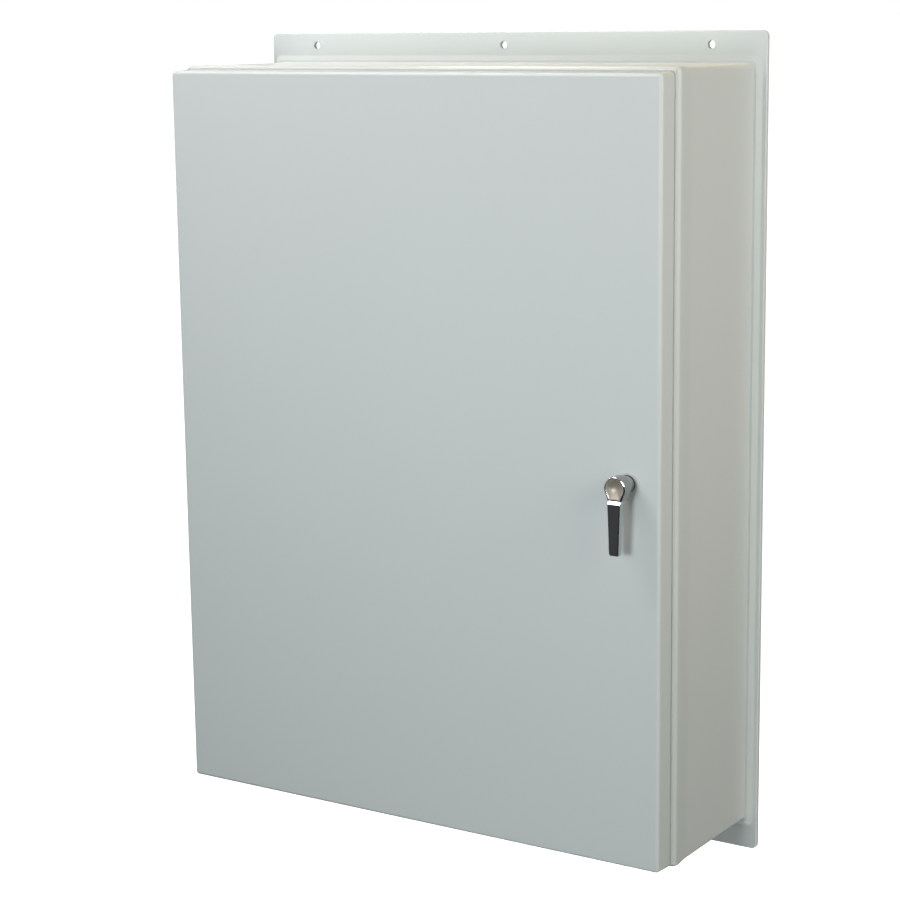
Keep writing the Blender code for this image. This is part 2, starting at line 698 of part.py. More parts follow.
def make_guides(steel):
    """The angle bracket inside the cover that each rod runs through, on two screws."""
    pieces = []
    foot = PAD_Y + CLEAR
    for side, sign in (("upper", 1), ("lower", -1)):
        section = [
            (foot, sign * (GUIDE_Z - 0.020)),
            (foot, sign * GUIDE_Z),
            (ROD_Y + 0.010, sign * GUIDE_Z),
            (ROD_Y + 0.010, sign * (GUIDE_Z - GUIDE_T)),
            (foot + GUIDE_T, sign * (GUIDE_Z - GUIDE_T)),
            (foot + GUIDE_T, sign * (GUIDE_Z - 0.020)),
        ]
        guide = prism(f"rod_guide_{side}", section, LATCH_X - 0.0245, LATCH_X + 0.0245, steel, along="X")
        middle = LATCH_X - sign * GUIDE_SHIFT
        half, high = ROD_R + GUIDE_SHIFT + 0.0015, ROD_R + 0.0006
        slot_low = (middle - half, ROD_Y - high, sign * GUIDE_Z - 0.01)
        slot_high = (middle + half, ROD_Y + high, sign * GUIDE_Z + 0.01)
        cut(guide, block("guide slot", slot_low, slot_high))
        pieces.append(guide)
    head = foot + GUIDE_T + CLEAR
    for number, (x, z) in enumerate(guide_screw_places(), 1):
        drill(pieces[(number - 1) // 2], 0.0024, foot - 0.01, head + 0.01, x, z, 8)
        screw = (
            (0.0019, COVER_BACK - 0.0005),
            (0.0020, COVER_BACK),
            (0.0020, head),
            (0.0042, head),
            (0.0036, head + 0.0024),
        )
        pieces.append(turned(f"guide_screw_{number}", screw, steel, "Y", (x, 0, z), 8))
    return pieces


# ---- assembly -----------------------------------------------------------------------------
def pivot(name, place, pieces, parent=None):
    """An empty on a joint's axis that carries its pieces. Each piece stays where it was made."""
    empty = bpy.data.objects.new(name, None)
    bpy.context.scene.collection.objects.link(empty)
    empty.location = Vector(place)
    if parent:
        empty.parent = parent
        empty.location -= parent_place(parent)
    bpy.context.view_layer.update()
    for piece in pieces:
        at = piece.matrix_world.copy()
        piece.parent = empty
        piece.matrix_parent_inverse = empty.matrix_world.inverted()
        piece.matrix_world = at
    return empty


def parent_place(parent):
    return parent.matrix_world.translation


def lean(pieces, angle, place):
    """Turns pieces made on a pivot at X 0, Z 0 about Y, and moves them to their pivot."""
    turn = Matrix.Translation(Vector(place)) @ Matrix.Rotation(angle, 4, "Y")
    for piece in pieces:
        for made in (piece, *(change.object for change in piece.modifiers)):
            made.matrix_world = turn


def main():
    for obj in list(bpy.data.objects):
        bpy.data.objects.remove(obj)
    mats = make_materials()
    steel, chrome, zinc = mats["stainless"], mats["chrome"], mats["zinc"]
    make_body_shell(mats["fibreglass"])
    make_subpanel(mats["panel_white"])
    make_panel_fixings(steel, mats["brass"])
    make_strikes(steel)
    cover_leaf = make_hinge(steel)
    on_cover = [make_cover_shell(mats["fibreglass"]), make_gasket(mats["foam"]), *cover_leaf]
    on_cover += make_handle_base(chrome, mats["rubber"], zinc) + make_guides(steel)
    cover = pivot("cover_pivot", (HINGE_X, HINGE_Y, 0), on_cover)
    handle_parts = make_handle(chrome) + make_cam(steel, zinc)
    handle = pivot("handle_pivot", (LATCH_X, HEAD_BACK, 0), handle_parts, cover)
    for side, x, half_turn in (("upper", -THROW, 0.0), ("lower", THROW, math.pi)):
        rod = make_rod(f"rod_{side}", steel)
        roller, axle = make_roller(side, mats["nylon"], steel)
        place = (LATCH_X + x, 0, 0)
        lean((rod, roller, axle), ROD_LEAN + half_turn, place)
        rod_pivot = pivot(f"rod_{side}_pivot", place, (rod, axle), handle)
        pivot(f"roller_{side}_pivot", roller.matrix_world @ Vector((0, ROD_Y, ROD_L)), (roller,), rod_pivot)


main()
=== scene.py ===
"""Looks for a wall-mounted fibreglass enclosure.

Moulded shells, hinge, handle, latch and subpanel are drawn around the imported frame.
"""

import json
import math

import bmesh
import bpy
from mathutils import Matrix, Vector


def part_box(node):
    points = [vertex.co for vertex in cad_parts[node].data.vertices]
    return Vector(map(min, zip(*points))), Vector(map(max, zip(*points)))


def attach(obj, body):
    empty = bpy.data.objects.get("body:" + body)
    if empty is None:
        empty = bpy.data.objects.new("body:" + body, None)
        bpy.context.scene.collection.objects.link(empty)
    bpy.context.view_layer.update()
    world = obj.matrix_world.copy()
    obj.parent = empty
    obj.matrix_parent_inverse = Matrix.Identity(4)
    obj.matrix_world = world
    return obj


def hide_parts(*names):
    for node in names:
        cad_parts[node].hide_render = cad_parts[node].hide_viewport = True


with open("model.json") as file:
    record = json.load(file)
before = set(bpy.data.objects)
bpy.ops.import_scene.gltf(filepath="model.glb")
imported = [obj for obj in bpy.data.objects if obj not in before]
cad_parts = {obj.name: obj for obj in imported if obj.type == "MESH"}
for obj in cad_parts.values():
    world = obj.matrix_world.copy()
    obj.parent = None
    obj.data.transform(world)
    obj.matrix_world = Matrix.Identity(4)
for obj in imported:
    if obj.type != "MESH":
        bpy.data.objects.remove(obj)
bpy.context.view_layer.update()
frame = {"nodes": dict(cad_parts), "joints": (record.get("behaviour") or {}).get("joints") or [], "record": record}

# ---- places taken from the frame -----------------------------------------------------------
COVER_LOW, COVER_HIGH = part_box("cover_shell")
BODY_LOW, BODY_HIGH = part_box("body_shell")
COVER_HW, COVER_HH = COVER_HIGH.x, COVER_HIGH.z
FRONT = COVER_LOW.y
SKIRT_END = COVER_HIGH.y
FLANGE_HW, FLANGE_HH = BODY_HIGH.x, BODY_HIGH.z
JOINTS = {joint["name"]: joint for joint in frame["joints"]}
HINGE = Vector(JOINTS["cover_hinge"]["pos_m"])
LATCH = Vector(JOINTS["handle_turn"]["pos_m"])

# ---- moulding sizes ------------------------------------------------------------------------
# Walls, lip, flange, holes and bosses match the solids. Corners, rounds, draft and bead are finer.
SKIN = 0.005
FLANGE_T = 0.008
CLEAR = 0.0003  # the gap between pieces that meet
WALL_HW, WALL_HH = COVER_HW + 0.001, COVER_HH + 0.005
BODY_CORNER, COVER_CORNER, LEAST_CORNER, COVER_ROUND = 0.008, 0.007, 0.004, 0.0055
DRAFT = 0.0015
LIP_Y = SKIRT_END + 0.0045
LIP_BACK = LIP_Y + SKIN
LIP_W, UPSTAND_T = 0.022, 0.004
UPSTAND_TIP = BODY_LOW.y
CREST_Y = SKIRT_END + 0.0032  # the front of the lip's rounded edge
BEAD = 0.0022  # how far the wall swells out behind that edge
LOW_EDGE_LIFT, LOW_EDGE_RUN, LOW_EDGE_BAND = 0.0045, 0.03, 0.0072
RIM_Y = -0.017
FLANGE_CORNER, FLANGE_ROUND = 0.010, 0.0026
COVER_BACK = FRONT + SKIN
PAD_Y = COVER_BACK + 0.005
PAD_LEFT, PAD_RIGHT, PAD_CORNER = LATCH.x - 0.030, LATCH.x + 0.0275, 0.004
RIBS, RIB_H = ((0.0095, 0.0120), (0.0275, 0.0300)), 0.008  # insets of the two ribs beside the gasket
FLANGE_HOLES_X, FLANGE_HOLE_Z, FLANGE_HOLE_R = (-0.381, 0.0, 0.381), COVER_HH + 0.034, 0.0065
PANEL_HOLE_X, PANEL_HOLE_Z, PANEL_T, PANEL_BEND = 0.400, 0.5525, 0.0027, 0.0045
BOSS_R, BOSS_END = 0.0125, -0.032

# ---- hinge and latch sizes -----------------------------------------------------------------
# These match the solids, except the dish in the lever's head, which is a flat recess there.
KNUCKLES, KNUCKLE_R, LEAF_T = 16, 0.004, 0.0015
HINGE_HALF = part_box("hinge_leaf_body")[1].z
HINGE_SCREWS_Z, HINGE_SCREW_END = (-0.48, -0.16, 0.16, 0.48), -0.4502
BODY_SCREW_Y, COVER_SCREW_Y = HINGE.y + 0.0125, HINGE.y - 0.0200
BODY_LEAF_IN, COVER_LEAF_IN = HINGE.x + KNUCKLE_R, -COVER_HW - CLEAR
BODY_LEAF_OUT, COVER_LEAF_OUT = BODY_LEAF_IN - LEAF_T, COVER_LEAF_IN - LEAF_T
HEAD_BACK, HEAD_FACE, SEAL_FRONT = LATCH.y, LATCH.y - 0.021, FRONT - CLEAR - 0.001
HEAD_R, NECK_HALF, NECK_Z, NECK_CUT = 0.018, 0.0117, -0.0195, 0.0004
DISH, DISH_EDGE, DISH_R, DISH_Z, DISH_STEPS = 0.0056, 0.0012, 0.0130, -0.001, 12
FACE_R, FACE_LOW = 0.0185, -0.0165  # what counts as the head's face for its materials
GRIP_FACE, LEVER_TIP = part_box("handle_lever")[0].y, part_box("handle_lever")[0].z
CAM_FRONT, CAM_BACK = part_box("latch_cam")[0].y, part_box("latch_cam")[1].y
EYE_R, EYE_T = 0.009, 0.005
ROLLER_R, ROLLER_HALF, FORK_T = 0.009, 0.005, 0.0023
ROD_Y, ROD_R = CAM_FRONT + ROLLER_R, 0.0045
ROD_PIVOT = Vector(JOINTS["upper_rod_pivot"]["pos_m"])
ROLLER = Vector(JOINTS["upper_roller_spin"]["pos_m"])
THROW = LATCH.x - ROD_PIVOT.x
ROD_L = math.hypot(ROLLER.x - ROD_PIVOT.x, ROLLER.z - ROD_PIVOT.z)
ROD_LEAN = math.asin((ROLLER.x - ROD_PIVOT.x) / ROD_L)
GUIDE_Z, GUIDE_T, GUIDE_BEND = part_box("rod_guide_upper")[1].z, 0.002, 0.004
RIVET_SPREAD = 0.022

# ---- bores ---------------------------------------------------------------------------------
BUSHING_BORE_R, GUIDE_BORE_R, HINGE_BORE_R, LEAF_BORE_R = 0.0104, 0.0022, 0.0021, 0.0022
RIVET_BORE_R, INSERT_BORE_R, PANEL_BORE_R, PIN_BORE_R = 0.0023, 0.0062, 0.0040, 0.0026
INSERT_BORE_END, HINGE_BORE_END = -0.0130, -WALL_HW + 0.009
OVERCUT = 0.01  # how far a cutter passes beyond the wall

# ---- camera and floor ----------------------------------------------------------------------
CAMERA_PLACE = (1.9823, -3.2440, 0.7010)
YAW, PITCH, ROLL = 0.5751, -0.1922, -0.0126  # radians
LENS, SENSOR = 90.384, 36.0  # millimetres
FLOOR_HALF, FLOOR_DROP = 400.0, 0.9

# ---- light: name, place, target, size, watts, colour ---------------------------------------
SKY_RIGHT, SKY_LEFT = (0.034, 0.031, 0.029), (0.108, 0.112, 0.115)
MIRROR_FADE, MIRROR_SKY = (-0.20, -0.02), (0.9, 4.0)  # heights and strengths of the sky that mirrors show
LIGHTS = (
    ("key", (0.45, -3.2, 0.35), (0.2, -0.3, 0), (0.7, 0.7), 43.0, (0.90, 0.952, 1.0)),
    ("right front", (2.4, -3.4, 0.2), (0, -0.3, 0), (1.5, 2.0), 11.0, (0.79, 1.0, 0.95)),
    ("fill", (-0.3, -2.2, 1.2), (0, -0.3, 0.3), (1.2, 1.2), 5.9, (1.0, 1.0, 1.0)),
    ("left", (-1.6, -2.6, -0.2), (0.1, -0.3, 0), (0.6, 0.6), 0.8, (0.70, 0.94, 0.96)),
    ("over", (-1.0, -1.2, 2.2), (0, -0.3, 0.4), (1.2, 1.2), 37.5, (1.0, 0.935, 0.926)),
    ("top", (-1.5, 0.3, 2.4), (-0.1, 0, 0.6), (1.0, 1.0), 8.1, (1.0, 0.925, 0.875)),
    ("near top", (-0.28, 0.2, 1.35), (-0.28, 0.1, 0.6), (0.5, 0.3), 4.1, (1.0, 0.98, 0.92)),
    ("flange", (-0.95, -0.22, 0.80), (-0.2, 0.0, 0.70), (0.3, 0.1), 1.3, (0.95, 0.99, 1.0)),
    ("warm", (0.38, 0.25, 1.15), (0.38, 0.1, 0.6), (0.14, 0.14), 1.5, (1.0, 0.76, 0.15)),
    ("back", (-0.2, 3.4, 0.1), (0.0, 0.0, 0.0), (1.0, 1.0), 34.0, (1.0, 1.0, 1.0)),
    ("low", (0.45, -0.30, -1.45), (0.40, 0.0, -0.66), (0.6, 0.4), 3.2, (0.93, 0.965, 1.0)),
    ("side", (3.0, -0.1, 0.8), (0.45, -0.15, 0), (1.5, 1.5), 29.6, (1.0, 0.977, 0.94)),
    ("side back", (2.4, 0.4, 1.4), (0.45, -0.15, 0.1), (1.2, 1.2), 10.5, (1.0, 0.91, 0.80)),
    ("side front", (2.6, -1.2, 1.0), (0.45, -0.15, 0.2), (1.2, 1.2), 19.7, (1.0, 0.918, 0.818)),
)


# ---- shader tools --------------------------------------------------------------------------
NOISE_SPAN = (0.3, 0.7)  # the part of a noise's range that is used


class Look:
    """A procedural material: short calls that add nodes and link them."""

    def __init__(self, name, colour, roughness, metallic=0.0):
        self.material = bpy.data.materials.new(name)
        self.material.use_nodes = True
        self.tree = self.material.node_tree
        self.shader = self.tree.nodes["Principled BSDF"]
        self.set("Base Color", (*colour, 1.0))
        self.set("Roughness", roughness)
        self.set("Metallic", metallic)
        self.colour = colour

    def set(self, socket, value):
        self.shader.inputs[socket].default_value = value

    def node(self, kind, **inputs):
        made = self.tree.nodes.new(kind)
        for key, value in inputs.items():
            socket = key.replace("_", " ")
            if isinstance(value, bpy.types.NodeSocket):
                self.tree.links.new(value, made.inputs[socket])
            else:
                made.inputs[socket].default_value = value
        return made

    def noise(self, scale, detail):
        place = self.node("ShaderNodeTexCoord").outputs["Object"]
        made = self.node("ShaderNodeTexNoise", Vector=place, Scale=scale, Detail=detail)
        return made.outputs["Fac"]

    def spread(self, fac, low, high):
        """fac mapped to a number from low to high."""
        start, end = NOISE_SPAN
        made = self.node(
            "ShaderNodeMapRange", Value=fac, From_Min=start, From_Max=end, To_Min=low, To_Max=high
        )
        return made.outputs["Result"]

    def tint(self, fac, amount):
        """Base colour varied in brightness by amount either way."""
        made = self.node("ShaderNodeValToRGB", Fac=fac)
        elements = made.color_ramp.elements
        for element, position, change in zip(elements, NOISE_SPAN, (-amount, amount)):
            element.position = position
            element.color = (*(min(1.0, c * (1 + change)) for c in self.colour), 1.0)
        self.link(made.outputs["Color"], "Base Color")

    def link(self, output, socket):
        self.tree.links.new(output, self.shader.inputs[socket])

    def bump(self, height, distance):
        made = self.node("ShaderNodeBump", Height=height, Distance=distance, Strength=1.0)
        self.link(made.outputs["Normal"], "Normal")


def gelcoat():
    """The moulded shells' pale grey-green, a little uneven in colour and gloss."""
    look = Look("gelcoat", (0.560, 0.600, 0.590), 0.30)
    look.tint(look.noise(2.6, 2.0), 0.006)
    look.link(look.spread(look.noise(12.0, 3.0), 0.29, 0.33), "Roughness")
    look.bump(look.noise(420.0, 2.0), 0.00003)
    look.set("Specular IOR Level", 0.3)
    return look.material


def simple(name, colour, roughness, metallic=0.0, grain=60.0, depth=0.00005, vary=0.22):
    """An even material: vary is how far its gloss strays, and ten times how far its brightness does."""
    look = Look(name, colour, roughness, metallic)
    look.tint(look.noise(grain * 0.3, 3.0), vary * 0.1)
    rough = look.spread(look.noise(grain, 4.0), roughness * (1 - vary), roughness * (1 + vary))
    look.link(rough, "Roughness")
    look.bump(look.noise(grain * 4, 3.0), depth)
    return look.material


LOOKS = {
    "fibreglass": gelcoat(),
    "panel_white": simple("panel_white", (0.80, 0.80, 0.78), 0.38, grain=90.0, depth=0.000003, vary=0.06),
    "stainless": simple("stainless", (0.56, 0.55, 0.53), 0.33, 1.0, grain=90.0, depth=0.000003),
    "chrome": simple("chrome", (0.60, 0.60, 0.61), 0.07, 1.0, grain=20.0, depth=0.000003),
    "zinc": simple("zinc", (0.62, 0.63, 0.64), 0.34, 1.0, depth=0.00001),
    "brass": simple("brass", (0.72, 0.56, 0.28), 0.30, 1.0, depth=0.00001),
    "foam": simple("foam", (0.035, 0.035, 0.036), 0.85, grain=500.0),
    "nylon": simple("nylon", (0.80, 0.78, 0.72), 0.45),
    "rubber": simple("rubber", (0.03, 0.03, 0.03), 0.65),
}
# The dish's dull warm brown is a painted reflection and shade, on a rougher, half-metal chrome.
DISH_PAINTED_REFLECTION_LOOK = simple("chrome_dish_painted_reflection", (0.40, 0.36, 0.30), 0.50, 0.55, depth=0.000006)
# A darker copy of the chrome for the bushing and the base of the head: painted shade.
BASE_PAINTED_SHADE_LOOK = simple("chrome_base_painted_shade", (0.40, 0.40, 0.40), 0.22, 1.0, depth=0.000006)
SLOT = {part["node"]: part["material_slot"] for part in frame["record"]["subparts"]}
for node, obj in frame["nodes"].items():
    obj.data.materials.clear()
    obj.data.materials.append(LOOKS[SLOT[node]])


# ---- shape tools ---------------------------------------------------------------------------
def finish(name, bm, slot, body=None, replaces=(), smooth=35.0):
    """The bmesh as a named piece in its material, riding on its body in place of CAD nodes."""
    bmesh.ops.recalc_face_normals(bm, faces=bm.faces)
    mesh = bpy.data.meshes.new(name)
    bm.to_mesh(mesh)
    bm.free()
    mesh.shade_smooth()
    mesh.set_sharp_from_angle(angle=math.radians(smooth))
    mesh.materials.append(LOOKS[slot])
    obj = bpy.data.objects.new(name, mesh)
    bpy.context.scene.collection.objects.link(obj)
    if body:
        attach(obj, body)
    if replaces:
        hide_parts(*replaces)
    return obj


def weigh(obj):
    """Keeps the flat faces flat in shading, so only the rounds turn."""
    change = obj.modifiers.new("weigh", "WEIGHTED_NORMAL")
    change.mode = "FACE_AREA"
    change.weight = 90
    change.keep_sharp = True
    return obj


def bridge(bm, first, second):
    """Faces between two rings of as many vertices."""
    for i in range(len(first)):
        j = (i + 1) % len(first)
        bm.faces.new((first[i], first[j], second[j], second[i]))


def ring_mesh(rings, closed=False):
    """A bmesh over rings of points, with a cap at each end unless the last ring meets the first."""
    bm = bmesh.new()
    rings = [[bm.verts.new(point) for point in ring] for ring in rings]
    for first, second in zip(rings, rings[1:]):
        bridge(bm, first, second)
    if closed:
        bridge(bm, rings[-1], rings[0])
    else:
        bm.faces.new(rings[0])
        bm.faces.new(rings[-1])
    return bm


def arc(centre, radius, start, end, steps):
    """Points on a circle from one angle to another, in degrees."""
    turn = [math.radians(start + (end - start) * i / steps) for i in range(steps + 1)]
    return [(centre[0] + radius * math.cos(a), centre[1] + radius * math.sin(a)) for a in turn]


def rounded_outline(low, high, radius, steps=6):
    """The outline of a rectangle with round corners."""
    left, right = low[0] + radius, high[0] - radius
    bottom, top = low[1] + radius, high[1] - radius
    points = []
    for turn, centre in enumerate(((right, top), (left, top), (left, bottom), (right, bottom))):
        points += arc(centre, radius, 90 * turn, 90 * turn + 90, steps)
    return points


def rounded_rectangle(half_w, half_h, radius, y):
    """One section of a shell, facing Y."""
    return [(x, y, z) for x, z in rounded_outline((-half_w, -half_h), (half_w, half_h), radius, 12)]


def loft(sections, closed=False):
    return ring_mesh([rounded_rectangle(*section) for section in sections], closed)


def fillet(inset_from, y_from, inset_to, y_to, steps, first_along="y"):
    """A quarter round between two corners of a section, as (inset, y) pairs without its first point."""
    points = []
    for i in range(1, steps + 1):
        a = math.radians(90 * i / steps)
        if first_along == "y":
            u, v = 1 - math.cos(a), math.sin(a)
        else:
            u, v = math.sin(a), 1 - math.cos(a)
        points.append((inset_from + (inset_to - inset_from) * u, y_from + (y_to - y_from) * v))
    return points


def eased(inset_from, y_from, inset_to, y_to):
    """A soft S between two corners of a section, as (inset, y) pairs without its first point."""
    steps = 8
    points = []
    for i in range(1, steps + 1):
        t = i / steps
        across = inset_from + (inset_to - inset_from) * t * t * (3 - 2 * t)
        points.append((across, y_from + (y_to - y_from) * t))
    return points


def turned(name, profile, slot, body, replaces, axis, place, sides, closed=False):
    """A turned piece: its profile holds (radius, along), or (half width, along, 6) for a hexagon."""
    rings = []
    for radius, along, *corners in profile:
        ring = []
        for i in range(sides):
            angle = 2 * math.pi * i / sides
            reach = radius
            if corners:
                flat = 2 * math.pi / corners[0]
                reach = radius / math.cos((angle % flat) - flat / 2)
            ring.append((reach * math.cos(angle), reach * math.sin(angle), along))
        rings.append(ring)
    bm = ring_mesh(rings, closed)
    to_axis = {
        "X": Matrix(((0, 0, 1), (1, 0, 0), (0, 1, 0))),
        "Y": Matrix(((0, 1, 0), (0, 0, 1), (1, 0, 0))),
        "Z": Matrix.Identity(3),
    }[axis]
    bmesh.ops.transform(bm, matrix=Matrix.Translation(Vector(place)) @ to_axis.to_4x4(), verts=bm.verts)
    return weigh(finish(name, bm, slot, body, replaces, 28.0))


def prism_mesh(outline, low, high, along):
    """An outline extruded from low to high. Its points are (Y, Z), (X, Z) or (X, Y)."""
    place = {
        "X": lambda p, q, t: (t, p, q),
        "Y": lambda p, q, t: (p, t, q),
        "Z": lambda p, q, t: (p, q, t),
    }[along]
    return ring_mesh([[place(p, q, t) for p, q in outline] for t in (low, high)])


def round_bar(radius, low, high, axis, place, sides=32):
    """A plain helper cylinder's bmesh, for a Boolean."""
    bm = bmesh.new()
    bmesh.ops.create_cone(
        bm, cap_ends=True, segments=sides, radius1=radius, radius2=radius, depth=high - low
    )
    turn = {
        "X": Matrix.Rotation(math.pi / 2, 4, "Y"),
        "Y": Matrix.Rotation(-math.pi / 2, 4, "X"),
        "Z": Matrix.Identity(4),
    }[axis]
    move = Vector(place)
    move["XYZ".index(axis)] += (low + high) / 2
    bmesh.ops.transform(bm, matrix=Matrix.Translation(move) @ turn, verts=bm.verts)
    return bm


def y_bores(radius, low, high, places, sides=20):
    """Cutters along Y at (X, Z) places."""
    return [round_bar(radius, low, high, "Y", (x, 0, z), sides) for x, z in places]


def hinge_bores(radius, start, y):
    """Cutters along X for the screws of one hinge leaf."""
    return [round_bar(radius, start, HINGE_BORE_END, "X", (0, y, z), 20) for z in HINGE_SCREWS_Z]


def combine(first, others, operation):
    """The bmesh of first with the others joined on or cut out."""
    def as_object(bm):
        bmesh.ops.recalc_face_normals(bm, faces=bm.faces)
        mesh = bpy.data.meshes.new("work")
        bm.to_mesh(mesh)
        bm.free()
        made = bpy.data.objects.new("work", mesh)
        bpy.context.scene.collection.objects.link(made)
        return made

    base = as_object(first)
    tools = [as_object(other) for other in others]
    for tool in tools:
        change = base.modifiers.new("boolean", "BOOLEAN")
        change.operation = operation
        change.solver = "EXACT"
        change.object = tool
    evaluated = base.evaluated_get(bpy.context.evaluated_depsgraph_get())
    result = bmesh.new()
    result.from_mesh(evaluated.to_mesh())
    for made in (base, *tools):
        bpy.data.objects.remove(made)
    return result


def softened(obj, width, segments=2, angle=30.0):
    """Small rounds on the edges of a machined or cast piece."""
    change = obj.modifiers.new("soften", "BEVEL")
    change.width = width
    change.segments = segments
    change.limit_method = "ANGLE"
    change.angle_limit = math.radians(angle)
    change.harden_normals = False
    return weigh(obj)


def leaned(piece, side):
    """Turns a piece made upright on the upper rod's pivot into its place on either rod."""
    joint = JOINTS[f"{side}_rod_pivot"]["pos_m"]
    half_turn = 0.0 if side == "upper" else math.pi
    turn = Matrix.Translation((joint[0], 0, 0)) @ Matrix.Rotation(ROD_LEAN + half_turn, 4, "Y")
    piece.data.transform(turn)
    return piece


# ---- handle --------------------------------------------------------------------------------
def keyhole(inset):
    """The head's outline round the latch axis: round above, narrowing below to the grip."""
    radius, half, low = HEAD_R - inset, NECK_HALF - inset, NECK_Z + inset
    start = math.degrees(math.atan2(low, half) + math.acos(radius / math.hypot(half, low)))
    outline = arc((0, 0), radius, start, 180 - start, 56)
    outline += [(-half, low + NECK_CUT), (-half + NECK_CUT, low)]
    outline += [(half - NECK_CUT, low), (half, low + NECK_CUT)]
    return [(LATCH.x + x, z) for x, z in outline]


def dished(x, z, share, y):
    """A point of the thumb dish: the head's outline drawn in towards a circle as the dish deepens."""
    across, up = x - LATCH.x, z - DISH_Z
    circle = DISH_R / math.hypot(across, up)
    reach = share * (share + (1 - share) * circle)
    return (LATCH.x + across * reach, y, DISH_Z + up * reach)


def head_mesh():
    """The lever's head: rounded edges, a raised rim and the thumb dish."""
    profile = (
        (0.0014, HEAD_BACK), (0.0004, HEAD_BACK - 0.0004), (0.0, HEAD_BACK - 0.0014),
        (0.0, HEAD_FACE + 0.0018), (0.0003, HEAD_FACE + 0.0009), (0.0009, HEAD_FACE + 0.0003),
        (0.0018, HEAD_FACE), (0.0026, HEAD_FACE), (0.0029, HEAD_FACE + 0.0001),
        (0.0031, HEAD_FACE + 0.0004), (0.0033, HEAD_FACE + 0.0010),
        (0.0037, HEAD_FACE + DISH_EDGE), (0.0044, HEAD_FACE + DISH_EDGE),
    )
    rings = [[(x, y, z) for x, z in keyhole(inset)] for inset, y in profile]
    rim = rings[-1]
    for step in range(1, DISH_STEPS):
        share = 1 - step / DISH_STEPS
        depth = DISH_EDGE + DISH * (1 - share ** 2)
        rings.append([dished(x, z, share, HEAD_FACE + depth) for x, _, z in rim])
    return ring_mesh(rings)


def grip_mesh():
    """The lever's grip, which runs from under the head down to a rounded tip."""
    # Z, half width, front, back and corner radius of each section
    sections = (
        (-0.0165, 0.0092, HEAD_FACE + 0.0022, HEAD_FACE + 0.0120, 0.0012),
        (-0.0190, 0.0110, HEAD_FACE + 0.0004, HEAD_FACE + 0.0125, 0.0014),
        (-0.0196, 0.0113, HEAD_FACE + 0.0001, HEAD_FACE + 0.0126, 0.0014),
        (-0.0230, 0.0110, GRIP_FACE + 0.0003, GRIP_FACE + 0.0130, 0.0014),
        (-0.0236, 0.0109, GRIP_FACE, GRIP_FACE + 0.0130, 0.0014),
        (-0.0242, 0.0109, GRIP_FACE, GRIP_FACE + 0.0130, 0.0014),
        (-0.0400, 0.0101, GRIP_FACE + 0.0001, GRIP_FACE + 0.0128, 0.0015),
        (-0.0600, 0.0094, GRIP_FACE + 0.0002, GRIP_FACE + 0.0125, 0.0015),
        (-0.0800, 0.0087, GRIP_FACE + 0.0002, GRIP_FACE + 0.0121, 0.0015),
        (-0.0970, 0.0082, GRIP_FACE + 0.0002, GRIP_FACE + 0.0118, 0.0015),
        (-0.1000, 0.0080, GRIP_FACE + 0.0005, GRIP_FACE + 0.0116, 0.0016),
        (-0.1018, 0.0076, GRIP_FACE + 0.0012, GRIP_FACE + 0.0112, 0.0016),
        (-0.1027, 0.0068, GRIP_FACE + 0.0022, GRIP_FACE + 0.0104, 0.0016),
        (LEVER_TIP, 0.0054, GRIP_FACE + 0.0034, GRIP_FACE + 0.0094, 0.0016),
    )
    rings = []
    for z, half, front, back, radius in sections:
        outline = rounded_outline((-half, front), (half, back), radius)
        rings.append([(LATCH.x + x, y, z) for x, y in outline])
    return ring_mesh(rings)


def lever_form():
    """The chromed lever. Its dish is rougher and a dull warm brown, which is a painted reflection and shade. The
    base of its head is a darker chrome, which is a painted shade.
    """
    whole = combine(head_mesh(), [grip_mesh()], "UNION")
    lever = finish("lever_form", whole, "chrome", "handle", ("handle_lever",), 24.0)
    lever.data.materials.append(DISH_PAINTED_REFLECTION_LOOK)
    lever.data.materials.append(BASE_PAINTED_SHADE_LOOK)
    # Dish faces take the painted reflection and shade. Faces at the back of the head take the darker chrome, a
    # painted shade.
    for face in lever.data.polygons:
        x, y, z = face.center
        inside = math.hypot(x - LATCH.x, z) < FACE_R and z > FACE_LOW
        if inside and y > HEAD_FACE + 0.0010 and face.normal.y < -0.3:
            face.material_index = 1
        elif y > HEAD_FACE + 0.0035 and z > FACE_LOW:
            face.material_index = 2
    weigh(lever)


def bushing_form():
    """The fixed bushing that the lever's shaft turns in, in a darker chrome that is a painted shade."""
    front, back = SEAL_FRONT - CLEAR, PAD_Y + 0.0085
    profile = (
        (0.0062, HEAD_BACK + CLEAR), (0.0144, HEAD_BACK + CLEAR), (0.0151, HEAD_BACK + 0.0006),
        (0.0155, HEAD_BACK + 0.0016), (0.0154, HEAD_BACK + 0.0050), (0.0133, SEAL_FRONT - 0.0016),
        (0.0130, SEAL_FRONT - 0.0008), (0.0128, front), (0.0100, front),
        (0.0100, PAD_Y + 0.0079), (0.0094, back), (0.0062, back),
    )
    name, place = "bushing_form", (LATCH.x, 0, 0)
    piece = turned(name, profile, "chrome", "cover", ("handle_bushing",), "Y", place, 64, closed=True)
    # The darker chrome here is a painted shade.
    piece.data.materials[0] = BASE_PAINTED_SHADE_LOOK


def seal_form():
    """The rubber ring between the bushing and the cover."""
    profile = (
        (BUSHING_BORE_R, SEAL_FRONT), (0.0131, SEAL_FRONT), (0.0136, SEAL_FRONT + 0.0005),
        (0.0134, FRONT - CLEAR), (BUSHING_BORE_R, FRONT - CLEAR),
    )
    place = (LATCH.x, 0, 0)
    turned("seal_form", profile, "rubber", "cover", ("handle_seal",), "Y", place, 64, closed=True)


